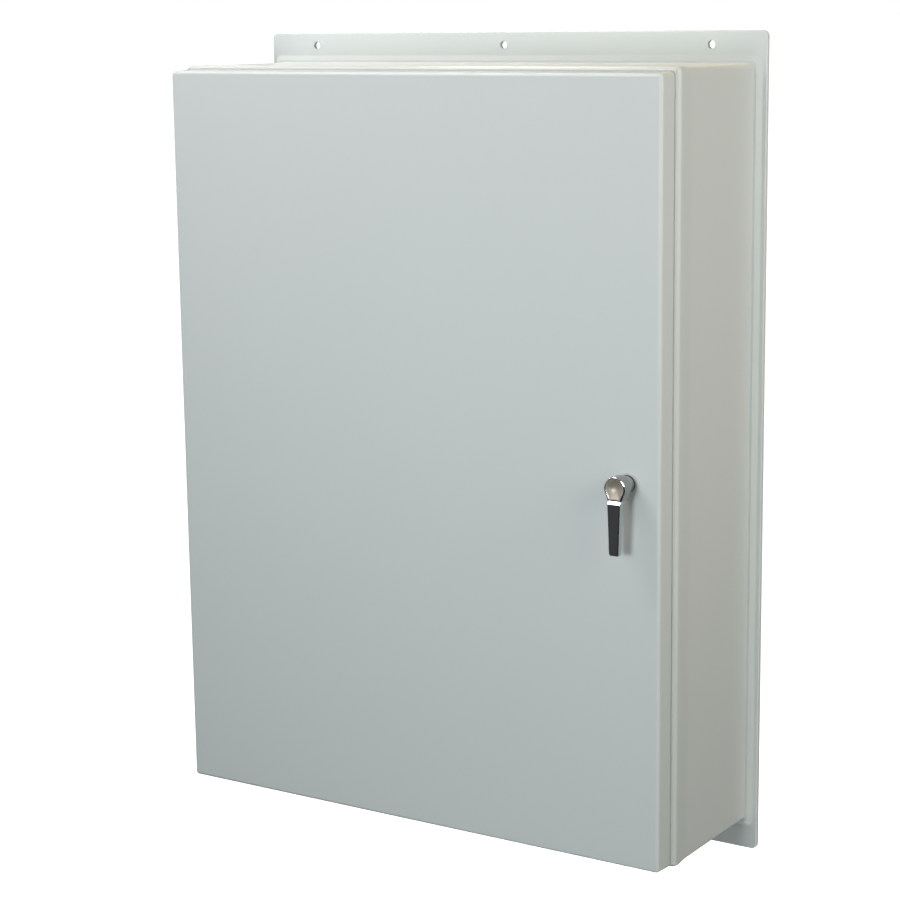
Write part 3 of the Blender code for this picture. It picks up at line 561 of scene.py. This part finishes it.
def nut_form(name, node, body, start, bore, washer, half_width, height):
    """A hexagon nut with a round washer face at each end."""
    profile = (
        (bore, start + CLEAR), (washer, start + CLEAR), (half_width, start + 0.0008, 6),
        (half_width, start + height - 0.0008, 6), (washer, start + height), (bore, start + height),
    )
    turned(name, profile, "zinc", body, (node,), "Y", (LATCH.x, 0, 0), 60, closed=True)


def bushing_nut():
    sizes = {"bore": BUSHING_BORE_R, "washer": 0.0136, "half_width": 0.0140, "height": 0.0062}
    nut_form("nut_form", "handle_nut", "cover", PAD_Y, **sizes)


def cam_nut():
    sizes = {"bore": 0.0042, "washer": 0.0062, "half_width": 0.0065, "height": 0.0065}
    nut_form("cam_nut_form", "cam_nut", "handle", CAM_BACK, **sizes)


def shaft_form():
    """The shaft from the lever's head through the bushing and the cam, with a thinner end for its nut."""
    profile = (
        (0.0060, HEAD_FACE + 0.0080), (0.0060, CAM_FRONT - CLEAR), (0.0052, CAM_FRONT - CLEAR),
        (0.0052, CAM_FRONT), (0.0039, CAM_FRONT + 0.0005), (0.0039, CAM_BACK + 0.0084),
        (0.0033, CAM_BACK + 0.0090),
    )
    turned("shaft_form", profile, "stainless", "handle", ("latch_shaft",), "Y", (LATCH.x, 0, 0), 48)


def rod_pins():
    """The two pins that hold the rods' eyes on the cam."""
    eye_back = CAM_BACK + CLEAR + EYE_T
    profile = (
        (0.0022, CAM_FRONT - 0.0018), (0.0034, CAM_FRONT - 0.0013), (0.0040, CAM_FRONT - CLEAR),
        (0.0025, CAM_FRONT - CLEAR), (0.0025, eye_back + CLEAR), (0.0040, eye_back + CLEAR),
        (0.0034, eye_back + 0.0013), (0.0022, eye_back + 0.0018),
    )
    for side in ("upper", "lower"):
        place = (JOINTS[f"{side}_rod_pivot"]["pos_m"][0], 0, 0)
        name, node = f"rod_pin_{side}_form", f"rod_pin_{side}"
        turned(name, profile, "stainless", "handle", (node,), "Y", place, 36)


def cam_form():
    """The cam plate: an ear for each rod and a nose that swings behind the side strike."""
    nose = [(0.0125, 0.0110), (0.0100, 0.0155), (0.0084, 0.0280), (0.0070, 0.0425), (0.0050, 0.0445)]
    outline = arc((THROW, 0), EYE_R, -90, 90, 20)
    outline += nose + [(-x, z) for x, z in reversed(nose)]
    outline += arc((-THROW, 0), EYE_R, 90, 270, 20)
    outline += [(-0.012, -0.0112), (-0.006, -0.0120), (0.006, -0.0120), (0.012, -0.0112)]
    bm = prism_mesh([(LATCH.x + x, z) for x, z in outline], CAM_FRONT, CAM_BACK, "Y")
    softened(finish("cam_form", bm, "stainless", "handle", ("latch_cam",), 30.0), 0.0004)


# ---- rods and rollers ----------------------------------------------------------------------
def fork_outline(low):
    """(X, Z) round the rod's forked end, which holds the roller between its two prongs."""
    gap, outer, cut = ROLLER_HALF + CLEAR, ROLLER_HALF + FORK_T, 0.0008
    floor, top = ROD_L - ROLLER_R - 0.0015, ROD_L + 0.005
    return [
        (-outer, low + 0.002), (-outer + 0.002, low), (outer - 0.002, low), (outer, low + 0.002),
        (outer, top - 0.001), (outer - cut, top), (gap, top), (gap, floor),
        (-gap, floor), (-gap, top), (-outer + cut, top), (-outer, top - 0.001),
    ]


def rod_form(side):
    """A latch rod: a flat eye on the cam, a round bar and a fork for the roller."""
    eye_front = CAM_BACK + CLEAR
    outline = [(0.0036, 0.016), (0.0038, 0.030), (-0.0038, 0.030), (-0.0036, 0.016)]
    outline += arc((0, 0), EYE_R - 0.0010, 150, 390, 24)
    eye = prism_mesh(outline, eye_front, eye_front + EYE_T, "Y")
    fork_low = ROD_L - ROLLER_R - 0.0075
    bar = round_bar(ROD_R, 0.018, fork_low + 0.002, "Z", (0, ROD_Y, 0))
    fork = prism_mesh(fork_outline(fork_low), ROD_Y - 0.0044, ROD_Y + 0.0044, "Y")
    joined = combine(eye, [bar, fork], "UNION")
    bore = round_bar(PIN_BORE_R, eye_front - OVERCUT, eye_front + 2 * OVERCUT, "Y", (0, 0, 0))
    piece = finish(f"rod_{side}_form", combine(joined, [bore], "DIFFERENCE"), "stainless", smooth=30.0)
    leaned(piece, side)
    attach(piece, f"{side}_rod")
    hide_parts(f"rod_{side}")
    softened(piece, 0.0003, 1, 50.0)


def mirrored(half):
    """A turned piece's profile from the first half of it."""
    return half + [(radius, -along) for radius, along in reversed(half)]


def roller_form(side):
    """A grooved roller and the axle that holds it in the rod's fork."""
    place, end = (0, ROD_Y, ROD_L), -ROLLER_HALF
    tread = [(0.0022, end), (0.0060, end), (0.0062, end + 0.0006), (0.0078, end + 0.0006)]
    tread += [(0.0080, end), (0.0086, end + 0.0001), (ROLLER_R, end + 0.0006)]
    name = f"roller_{side}_form"
    roller = turned(name, mirrored(tread), "nylon", None, (), "X", place, 56, closed=True)
    end = -(ROLLER_HALF + FORK_T + CLEAR)
    axle = [(0.0020, end - 0.0012), (0.0031, end - 0.0008), (0.0034, end), (0.0020, end)]
    name = f"roller_axle_{side}_form"
    pin = turned(name, mirrored(axle), "stainless", None, (), "X", place, 36)
    for piece, body, node in (
        (roller, f"{side}_roller", f"roller_{side}"),
        (pin, f"{side}_rod", f"roller_axle_{side}"),
    ):
        leaned(piece, side)
        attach(piece, body)
        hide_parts(node)


def guide_form(side):
    """A folded bracket with a slot for its rod."""
    low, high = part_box(f"rod_guide_{side}")
    sign = 1 if side == "upper" else -1
    far, near = sign * GUIDE_Z, sign * (GUIDE_Z - 0.020)
    foot, back = low.y, high.y
    centre, turn = (foot + GUIDE_BEND, far - sign * GUIDE_BEND), 180 - sign * 90
    section = [(foot, near)] + arc(centre, GUIDE_BEND, 180, turn, 8)
    section += [(back, far), (back, far - sign * GUIDE_T)]
    section += arc(centre, GUIDE_BEND - GUIDE_T, turn, 180, 8) + [(foot + GUIDE_T, near)]
    plate = prism_mesh(section, low.x, high.x, "X")
    middle = LATCH.x - sign * 0.0032
    half, tall = ROD_R + 0.0047, ROD_R + 0.0006
    slot = [
        (middle - half, ROD_Y - tall), (middle + half, ROD_Y - tall),
        (middle + half, ROD_Y + tall), (middle - half, ROD_Y + tall),
    ]
    cutter = prism_mesh(slot, far - OVERCUT, far + OVERCUT, "Z")
    cut = combine(plate, [cutter], "DIFFERENCE")
    name, node = f"guide_{side}_form", f"rod_guide_{side}"
    softened(finish(name, cut, "stainless", "cover", (node,), 30.0), 0.0003, 1, 50.0)


def guide_screw_places():
    """(X, Z) of the two screws in each guide's foot."""
    for z in (GUIDE_Z - 0.011, -GUIDE_Z + 0.011):
        for x in (LATCH.x - 0.018, LATCH.x + 0.018):
            yield x, z


def guide_screws():
    """Button-head screws with a hexagon socket, through the guides into the pads."""
    head = PAD_Y + CLEAR + GUIDE_T + CLEAR
    profile = (
        (0.0012, head + 0.0008, 6), (0.0012, head + 0.0024, 6), (0.0026, head + 0.0024),
        (0.0036, head + 0.0020), (0.0041, head + 0.0011), (0.0042, head), (0.0020, head),
        (0.0020, COVER_BACK), (0.0015, COVER_BACK - 0.0005),
    )
    for number, (x, z) in enumerate(guide_screw_places(), 1):
        name = f"guide_screw_{number}"
        turned(f"{name}_form", profile, "stainless", "cover", (name,), "Y", (x, 0, z), 36)


# ---- gasket and strikes --------------------------------------------------------------------
def gasket_form():
    """A foam strip with a soft crown, pressed on by the body's sealing edge."""
    front, back = COVER_BACK + CLEAR, UPSTAND_TIP - CLEAR
    crown = back - 0.0032
    sections = [(0.0124, front), (0.0124, crown)]
    sections += fillet(0.0124, crown, 0.0158, back, 6)
    sections += [(0.0158 + 0.0079 * i / 3, back) for i in range(1, 3)]
    sections += [(0.0237, back)] + fillet(0.0237, back, 0.0271, crown, 6, "x")
    sections += [(0.0271, front)]
    strip = loft([on_cover(*p) for p in sections], closed=True)
    finish("gasket_form", strip, "foam", "cover", ("cover_gasket",))


def rivet_places():
    """(X, Z) of the two rivets in each strike."""
    depth = LIP_W - 0.009
    for z in (WALL_HH - depth, -WALL_HH + depth):
        for x in (LATCH.x - RIVET_SPREAD, LATCH.x + RIVET_SPREAD):
            yield x, z
    for z in (-RIVET_SPREAD, RIVET_SPREAD):
        yield WALL_HW - depth, z


def strike_form(side):
    """A steel plate behind the return lip, bored for its two rivets."""
    low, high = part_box(f"strike_{side}")
    plate = prism_mesh(rounded_outline((low.x, low.z), (high.x, high.z), 0.003), low.y, high.y, "Y")
    places = [(x, z) for x, z in rivet_places() if low.x < x < high.x and low.z < z < high.z]
    cut = combine(plate, y_bores(RIVET_BORE_R, low.y - OVERCUT, high.y + OVERCUT, places), "DIFFERENCE")
    name, node = f"strike_{side}_form", f"strike_{side}"
    softened(finish(name, cut, "stainless", "enclosure", (node,), 30.0), 0.0002, 1, 50.0)


def strike_rivets():
    """Rivets through the return lip, with their low heads on its front."""
    front, back = LIP_Y - CLEAR, LIP_BACK + 2 * CLEAR + 0.0015
    profile = (
        (0.0006, front - 0.0010), (0.0022, front - 0.0009), (0.0034, front - 0.0006),
        (0.0041, front - 0.0002), (0.0042, front), (0.0021, front),
        (0.0021, back - 0.0005), (0.0018, back - 0.0004),
    )
    for number, (x, z) in enumerate(rivet_places(), 1):
        name = f"strike_rivet_{number}"
        turned(f"{name}_form", profile, "stainless", "enclosure", (name,), "Y", (x, 0, z), 36)


# ---- hinge ---------------------------------------------------------------------------------
def curl(way, leaf_end):
    """A knuckle's section: a stub of leaf that rolls once round the pin. way is +1 for the body's leaf."""
    bore = 0.0019
    gap = math.degrees(math.acos((KNUCKLE_R - LEAF_T - 0.0004) / KNUCKLE_R))
    roll = arc((0, 0), KNUCKLE_R, 0, 360 - gap, 30) + arc((0, 0), bore, 360 - gap, -20, 24)
    rolled = [(HINGE.x + x, HINGE.y - way * y) for x, y in roll]
    neck = [(BODY_LEAF_OUT, HINGE.y + way * 0.0021), (BODY_LEAF_OUT, leaf_end)]
    return [(BODY_LEAF_IN, leaf_end)] + rolled + neck


def body_leaf_outline():
    """(X, Y) round the leaf on the tub's wall."""
    start, end, cut = HINGE.y + KNUCKLE_R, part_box("hinge_leaf_body")[1].y, 0.0004
    return [
        (BODY_LEAF_OUT, start), (BODY_LEAF_IN, start), (BODY_LEAF_IN, end - cut),
        (BODY_LEAF_IN - cut, end), (BODY_LEAF_OUT + cut, end), (BODY_LEAF_OUT, end - cut),
    ]


def cover_leaf_outline():
    """(X, Y) round the leaf on the cover's skirt, which steps out round the skirt's edge."""
    start, tip, cut = HINGE.y - KNUCKLE_R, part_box("hinge_leaf_cover")[0].y, 0.0004
    return [
        (BODY_LEAF_OUT, start), (BODY_LEAF_OUT, start - 0.0022), (BODY_LEAF_OUT + 0.0002, start - 0.0028),
        (COVER_LEAF_OUT - 0.0003, start - 0.0058), (COVER_LEAF_OUT, start - 0.0066),
        (COVER_LEAF_OUT, tip + cut), (COVER_LEAF_OUT + cut, tip),
        (COVER_LEAF_IN - cut, tip), (COVER_LEAF_IN, tip + cut), (COVER_LEAF_IN, start - 0.0062),
        (COVER_LEAF_IN - 0.0003, start - 0.0055), (BODY_LEAF_IN, start - 0.0021), (BODY_LEAF_IN, start),
    ]


def hinge_leaf(part, body, outline, way, first, screw_y):
    """One leaf with every second knuckle, bored for its screws."""
    pitch = 2 * HINGE_HALF / KNUCKLES
    leaf_end = HINGE.y + way * KNUCKLE_R + way * 0.0005
    knuckles = []
    for index in range(first, KNUCKLES, 2):
        start = -HINGE_HALF + index * pitch + 0.0004
        knuckles.append(prism_mesh(curl(way, leaf_end), start, start + pitch - 0.0008, "Z"))
    joined = combine(prism_mesh(outline, -HINGE_HALF, HINGE_HALF, "Z"), knuckles, "UNION")
    cut = combine(joined, hinge_bores(LEAF_BORE_R, HINGE.x - OVERCUT, screw_y), "DIFFERENCE")
    weigh(finish(f"hinge_{part}_form", cut, "stainless", body, (f"hinge_leaf_{part}",), 30.0))


def hinge_screws(part, body, face, screw_y):
    """Button-head screws with a hexagon socket, along X into the shell."""
    profile = (
        (0.0011, face - 0.0006, 6), (0.0012, face - 0.0018, 6), (0.0022, face - 0.0018),
        (0.0031, face - 0.0014), (0.0037, face - 0.0007), (0.0038, face), (0.0019, face),
        (0.0019, HINGE_SCREW_END - 0.0002), (0.0016, HINGE_SCREW_END),
    )
    for number, z in enumerate(HINGE_SCREWS_Z, 1):
        name = f"hinge_screw_{part}_{number}"
        turned(f"{name}_form", profile, "stainless", body, (name,), "X", (0, screw_y, z), 36)


def hinge():
    """Both leaves with their screws, then the pin."""
    for part, body, outline, way, first, screw_y, leaf_out in (
        ("body", "enclosure", body_leaf_outline(), 1, 0, BODY_SCREW_Y, BODY_LEAF_OUT),
        ("cover", "cover", cover_leaf_outline(), -1, 1, COVER_SCREW_Y, COVER_LEAF_OUT),
    ):
        hinge_leaf(part, body, outline, way, first, screw_y)
        hinge_screws(part, body, leaf_out - CLEAR, screw_y)
    end = -HINGE_HALF - 0.0005
    pin = mirrored([(0.0012, end - 0.0005), (0.0018, end)])
    place = (HINGE.x, HINGE.y, 0)
    turned("hinge_pin_form", pin, "stainless", "enclosure", ("hinge_pin",), "Z", place, 28)


# ---- subpanel ------------------------------------------------------------------------------
def panel_places():
    """(X, Z) of the subpanel's six fixings."""
    for x in (-PANEL_HOLE_X, PANEL_HOLE_X):
        for z in (-PANEL_HOLE_Z, 0.0, PANEL_HOLE_Z):
            yield x, z


def subpanel_form():
    """A painted steel plate whose long edges are folded back towards the wall."""
    low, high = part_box("subpanel")
    half, front, edge, cut = high.x, low.y, high.y, 0.0004
    centre = (half - PANEL_BEND, front + PANEL_BEND)
    right = arc(centre, PANEL_BEND, 270, 360, 8)
    right += [(half, edge - cut), (half - cut, edge)]
    right += [(half - PANEL_T + cut, edge), (half - PANEL_T, edge - cut)]
    right += arc(centre, PANEL_BEND - PANEL_T, 360, 270, 8)
    left = [(-x, y) for x, y in reversed(right)]
    plate = prism_mesh(right + left, low.z, high.z, "Z")
    bores = y_bores(PANEL_BORE_R, front - OVERCUT, front + 2 * OVERCUT, panel_places(), 32)
    bored = combine(plate, bores, "DIFFERENCE")
    panel = finish("subpanel_form", bored, "panel_white", "enclosure", ("subpanel",), 30.0)
    softened(panel, 0.0003, 2, 50.0)


def panel_screws():
    """Flanged hexagon screws that hold the subpanel on the tub's bosses."""
    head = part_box("subpanel")[0].y - CLEAR
    profile = (
        (0.0028, -0.0150), (0.0031, -0.0155), (0.0031, head), (0.0080, head),
        (0.0085, head - 0.0004), (0.0084, head - 0.0009), (0.0070, head - 0.0014),
        (0.0060, head - 0.0017), (0.0055, head - 0.0019, 6), (0.0055, head - 0.0058, 6),
        (0.0053, head - 0.0062), (0.0047, head - 0.0065), (0.0030, head - 0.0062),
    )
    for number, (x, z) in enumerate(panel_places(), 1):
        name = f"panel_screw_{number}"
        turned(f"{name}_form", profile, "zinc", "enclosure", (name,), "Y", (x, 0, z), 60)


# ---- stage, lights and camera --------------------------------------------------------------
def studio():
    """The world and how its light is turned into a picture."""
    scene = bpy.context.scene
    scene.view_settings.view_transform = "Standard"
    world = bpy.data.worlds.new("studio")
    scene.world = world
    world.use_nodes = True
    studio_sky(world.node_tree)


def pale_floor():
    """A plain white floor, well below the enclosure and out of every reflection."""
    bm = bmesh.new()
    bmesh.ops.create_grid(bm, x_segments=4, y_segments=4, size=FLOOR_HALF)
    mesh = bpy.data.meshes.new("floor")
    bm.to_mesh(mesh)
    bm.free()
    floor = bpy.data.objects.new("floor", mesh)
    bpy.context.scene.collection.objects.link(floor)
    floor.location = (0, 0, BODY_LOW.z - FLOOR_DROP)
    look = Look("pale floor", (0.93, 0.93, 0.93), 0.8)
    look.set("Emission Color", (1, 1, 1, 1))
    look.set("Emission Strength", 1.15)
    mesh.materials.append(look.material)
    floor.visible_diffuse = False
    floor.visible_glossy = False


def studio_sky(tree):
    """White where the camera sees it. Objects get a dimmer sky, paler on the left and dark low down."""
    nodes, links = tree.nodes, tree.links

    def background(colour, strength=1.0):
        made = nodes.new("ShaderNodeBackground")
        for socket, value in (("Color", colour), ("Strength", strength)):
            if isinstance(value, bpy.types.NodeSocket):
                links.new(value, made.inputs[socket])
            else:
                made.inputs[socket].default_value = value
        return made.outputs["Background"]

    def mapped(axis, start, end, low, high):
        made = nodes.new("ShaderNodeMapRange")
        links.new(split.outputs[axis], made.inputs["Value"])
        for socket, value in (("From Min", start), ("From Max", end), ("To Min", low), ("To Max", high)):
            made.inputs[socket].default_value = value
        return made.outputs["Result"]

    def mixed(factor, first, second):
        made = nodes.new("ShaderNodeMixShader")
        for index, output in enumerate((factor, first, second)):
            links.new(output, made.inputs[index])
        return made.outputs["Shader"]

    place = nodes.new("ShaderNodeTexCoord")
    split = nodes.new("ShaderNodeSeparateXYZ")
    links.new(place.outputs["Generated"], split.inputs["Vector"])
    ramp = nodes.new("ShaderNodeValToRGB")
    links.new(mapped("X", 0.1, -0.9, 0.0, 1.0), ramp.inputs["Fac"])
    for element, colour in zip(ramp.color_ramp.elements, (SKY_RIGHT, SKY_LEFT)):
        element.color = (*colour, 1.0)
    path = nodes.new("ShaderNodeLightPath")
    around = background(ramp.outputs["Color"], mapped("Z", -0.5, 0.1, 0.15, 1.0))
    in_mirrors = background(ramp.outputs["Color"], mapped("Z", *MIRROR_FADE, *MIRROR_SKY))
    lit = mixed(path.outputs["Is Glossy Ray"], around, in_mirrors)
    white = background((1.0, 1.0, 1.0, 1.0))
    shown = mixed(path.outputs["Is Camera Ray"], lit, white)
    links.new(shown, nodes["World Output"].inputs["Surface"])


def soft_light(name, place, target, size, power, colour):
    """A rectangular light that the camera doesn't see, turned to its target."""
    data = bpy.data.lights.new(name, "AREA")
    data.shape = "RECTANGLE"
    data.size, data.size_y = size
    data.energy = power
    data.color = colour
    light = bpy.data.objects.new(name, data)
    bpy.context.scene.collection.objects.link(light)
    light.location = place
    light.visible_camera = False
    light.rotation_mode = "QUATERNION"
    light.rotation_quaternion = (Vector(target) - Vector(place)).to_track_quat("-Z", "Y")


def camera():
    """A viewpoint to the right of the cover and a little above its middle."""
    level = math.cos(PITCH)
    forward = Vector((-math.sin(YAW) * level, math.cos(YAW) * level, math.sin(PITCH)))
    side = Vector((math.cos(YAW), math.sin(YAW), 0))
    above = side.cross(forward)
    right = side * math.cos(ROLL) + above * math.sin(ROLL)
    up = above * math.cos(ROLL) - side * math.sin(ROLL)
    data = bpy.data.cameras.new("camera")
    data.sensor_width = SENSOR
    data.lens = LENS
    made = bpy.data.objects.new("camera", data)
    bpy.context.scene.collection.objects.link(made)
    turn = Matrix((right, up, -forward)).transposed().to_4x4()
    made.matrix_world = Matrix.Translation(CAMERA_PLACE) @ turn
    bpy.context.scene.camera = made


# ---- moulded shells ------------------------------------------------------------------------
def on_wall(inset, y):
    """The tub's section at an inset from its wall. A negative inset stands out from it."""
    corner = max(BODY_CORNER - inset, LEAST_CORNER) if inset > 0 else BODY_CORNER - 0.3 * inset
    return WALL_HW - inset, WALL_HH - inset, corner, y


def on_cover(inset, y):
    """The cover's section at an inset from the edge of its skirt."""
    return COVER_HW - inset, COVER_HH - inset, max(COVER_CORNER - inset, LEAST_CORNER), y


def rib_profile(low, high):
    """A gasket rib on the inside of the cover, with soft corners at its foot and tip."""
    tip, foot, soft = COVER_BACK + RIB_H, 0.001, 0.0008
    rise = [(low - foot, COVER_BACK), (low, COVER_BACK + foot), (low, tip - soft), (low + soft, tip)]
    fall = [(high - soft, tip), (high, tip - soft), (high, COVER_BACK + foot), (high + foot, COVER_BACK)]
    return rise + fall


def cover_profile():
    """The cover as (inset, y) pairs: from its face over the skirt, then back inside over the ribs."""
    start, lip, cut, bend = COVER_ROUND + DRAFT, 0.0016, 0.0008, 0.004
    profile = [(start + 0.0002, FRONT), (start, FRONT)]
    profile += fillet(start, FRONT, DRAFT, FRONT + COVER_ROUND, 10, "x")
    profile += [(0, SKIRT_END - lip)] + fillet(0, SKIRT_END - lip, lip, SKIRT_END, 5)
    profile += [(SKIN - cut, SKIRT_END), (SKIN, SKIRT_END - cut), (SKIN, COVER_BACK + bend)]
    profile += fillet(SKIN, COVER_BACK + bend, SKIN + bend, COVER_BACK, 5)
    for low, high in RIBS:
        profile += rib_profile(low, high)
    return profile


def cover_skin():
    """The moulded cover with its pads, bored for the bushing, the guide screws and the hinge screws."""
    shell = loft([on_cover(*p) for p in cover_profile()])
    pads = []
    for z, half in ((GUIDE_Z, 0.022), (0.0, 0.036), (-GUIDE_Z, 0.022)):
        pads.append(pad_mesh((PAD_LEFT, z - half), (PAD_RIGHT, z + half)))
    shell = combine(shell, pads, "UNION")
    bores = y_bores(BUSHING_BORE_R, FRONT - OVERCUT, PAD_Y + OVERCUT, [(LATCH.x, 0)], 64)
    bores += y_bores(GUIDE_BORE_R, COVER_BACK - 0.001, PAD_Y + OVERCUT, guide_screw_places())
    bores += hinge_bores(HINGE_BORE_R, -COVER_HW - OVERCUT, COVER_SCREW_Y)
    shell = combine(shell, bores, "DIFFERENCE")
    weigh(finish("cover_skin", shell, "fibreglass", "cover", ("cover_shell",), 30.0))


def pad_mesh(low, high):
    """A moulded pad inside the cover, with drafted sides and a rounded top edge."""
    rings = []
    for shrink, y in (
        (0.0, COVER_BACK - 0.002), (0.0, COVER_BACK + 0.001), (0.0006, PAD_Y - 0.0009),
        (0.0009, PAD_Y - 0.0003), (0.0015, PAD_Y),
    ):
        left, right = low[0] + shrink, high[0] - shrink
        bottom, top = low[1] + shrink, high[1] - shrink
        outline = rounded_outline((left, bottom), (right, top), PAD_CORNER)
        rings.append([(x, y, z) for x, z in outline])
    return ring_mesh(rings)


def boss_mesh(x, z):
    """A moulded boss that stands on the back wall, with a fillet at its foot."""
    profile = (
        (BOSS_R + 0.004, -FLANGE_T + 0.002), (BOSS_R + 0.004, -FLANGE_T - 0.0001),
        (BOSS_R + 0.0022, -FLANGE_T - 0.0006), (BOSS_R + 0.0010, -FLANGE_T - 0.0018),
        (BOSS_R + 0.0006, -FLANGE_T - 0.004), (BOSS_R, BOSS_END + 0.0008), (BOSS_R - 0.0008, BOSS_END),
    )
    rings = []
    for radius, y in profile:
        circle = arc((0, 0), radius, 0, 360, 40)[:-1]
        rings.append([(x + across, y, z + up) for across, up in circle])
    return ring_mesh(rings)


def round_low_edge(bm):
    """Rounds the outside of the bottom wall off more than the others, where it meets the lip."""
    for vert in bm.verts:
        outward = min((-vert.co.z - (WALL_HH - LOW_EDGE_BAND)) / LOW_EDGE_BAND, 1.0)
        forward = min(1.0 - (vert.co.y - CREST_Y) / LOW_EDGE_RUN, 1.0)
        if outward > 0 and forward > 0:
            vert.co.z += LOW_EDGE_LIFT * outward * forward ** 2 * (3 - 2 * forward)


def body_profile():
    """The tub as (inset, y) pairs: from its floor to the lip, round the sealing edge, back down outside."""
    floor, bend, soft, cut = -FLANGE_T, 0.008, 0.001, 0.0008
    profile = [(SKIN + bend, floor)] + fillet(SKIN + bend, floor, SKIN, floor - bend, 6, "x")
    profile += [(SKIN, LIP_BACK + soft), (SKIN + soft, LIP_BACK)]
    profile += [(LIP_W - cut, LIP_BACK), (LIP_W, LIP_BACK - cut)]
    profile += [(LIP_W, UPSTAND_TIP + soft), (LIP_W - soft, UPSTAND_TIP)]
    outer = LIP_W - UPSTAND_T
    profile += [(outer + soft, UPSTAND_TIP), (outer, UPSTAND_TIP + soft)]
    profile += [(outer, LIP_Y - soft), (outer - soft, LIP_Y)]
    profile += [(0.0084, LIP_Y), (0.0078, CREST_Y + 0.0006), (0.0072, CREST_Y), (0.0034, CREST_Y)]
    profile += fillet(0.0034, CREST_Y, 0.0013, CREST_Y + 0.0021, 5, "x")
    profile += eased(0.0013, CREST_Y + 0.0021, -BEAD, CREST_Y + 0.013)
    profile += eased(-BEAD, CREST_Y + 0.013, 0.0, CREST_Y + 0.055)
    profile += [(0, RIM_Y)] + fillet(0, RIM_Y, -0.004, RIM_Y + 0.0013, 5)
    profile += [(-0.0112, floor - 0.0005), (-0.0125, floor)]
    return profile


def flange_sections():
    """The mounting flange's front edge, its round and its back edge."""
    front = -FLANGE_T
    edge = [(FLANGE_ROUND, front)] + fillet(FLANGE_ROUND, front, 0.0, front + FLANGE_ROUND, 6, "x")
    edge += [(0.0, -0.0006), (0.0006, 0.0)]
    return [(FLANGE_HW - inset, FLANGE_HH - inset, FLANGE_CORNER - inset, y) for inset, y in edge]


def body_skin():
    """The moulded tub with bosses, bored for its anchors, inserts, rivets and hinge screws."""
    shell = loft([on_wall(*p) for p in body_profile()] + flange_sections())
    round_low_edge(shell)
    shell = combine(shell, [boss_mesh(x, z) for x, z in panel_places()], "UNION")
    anchors = [(x, z) for x in FLANGE_HOLES_X for z in (-FLANGE_HOLE_Z, FLANGE_HOLE_Z)]
    bores = y_bores(FLANGE_HOLE_R, -2 * OVERCUT, 2 * OVERCUT, anchors, 48)
    bores += y_bores(INSERT_BORE_R, BOSS_END - OVERCUT, INSERT_BORE_END, panel_places(), 32)
    bores += y_bores(RIVET_BORE_R, LIP_Y - OVERCUT, LIP_BACK + OVERCUT, rivet_places())
    bores += hinge_bores(HINGE_BORE_R, HINGE.x - OVERCUT, BODY_SCREW_Y)
    shell = combine(shell, bores, "DIFFERENCE")
    weigh(finish("body_skin", shell, "fibreglass", "enclosure", ("body_shell",), 30.0))


# ---- everything in turn --------------------------------------------------------------------
studio()
pale_floor()
camera()
for light in LIGHTS:
    soft_light(*light)
cover_skin()
body_skin()
gasket_form()
for side in ("upper", "lower", "side"):
    strike_form(side)
strike_rivets()
hinge()
subpanel_form()
panel_screws()
lever_form()
bushing_form()
seal_form()
bushing_nut()
shaft_form()
cam_nut()
rod_pins()
cam_form()
for side in ("upper", "lower"):
    rod_form(side)
    roller_form(side)
    guide_form(side)
guide_screws()
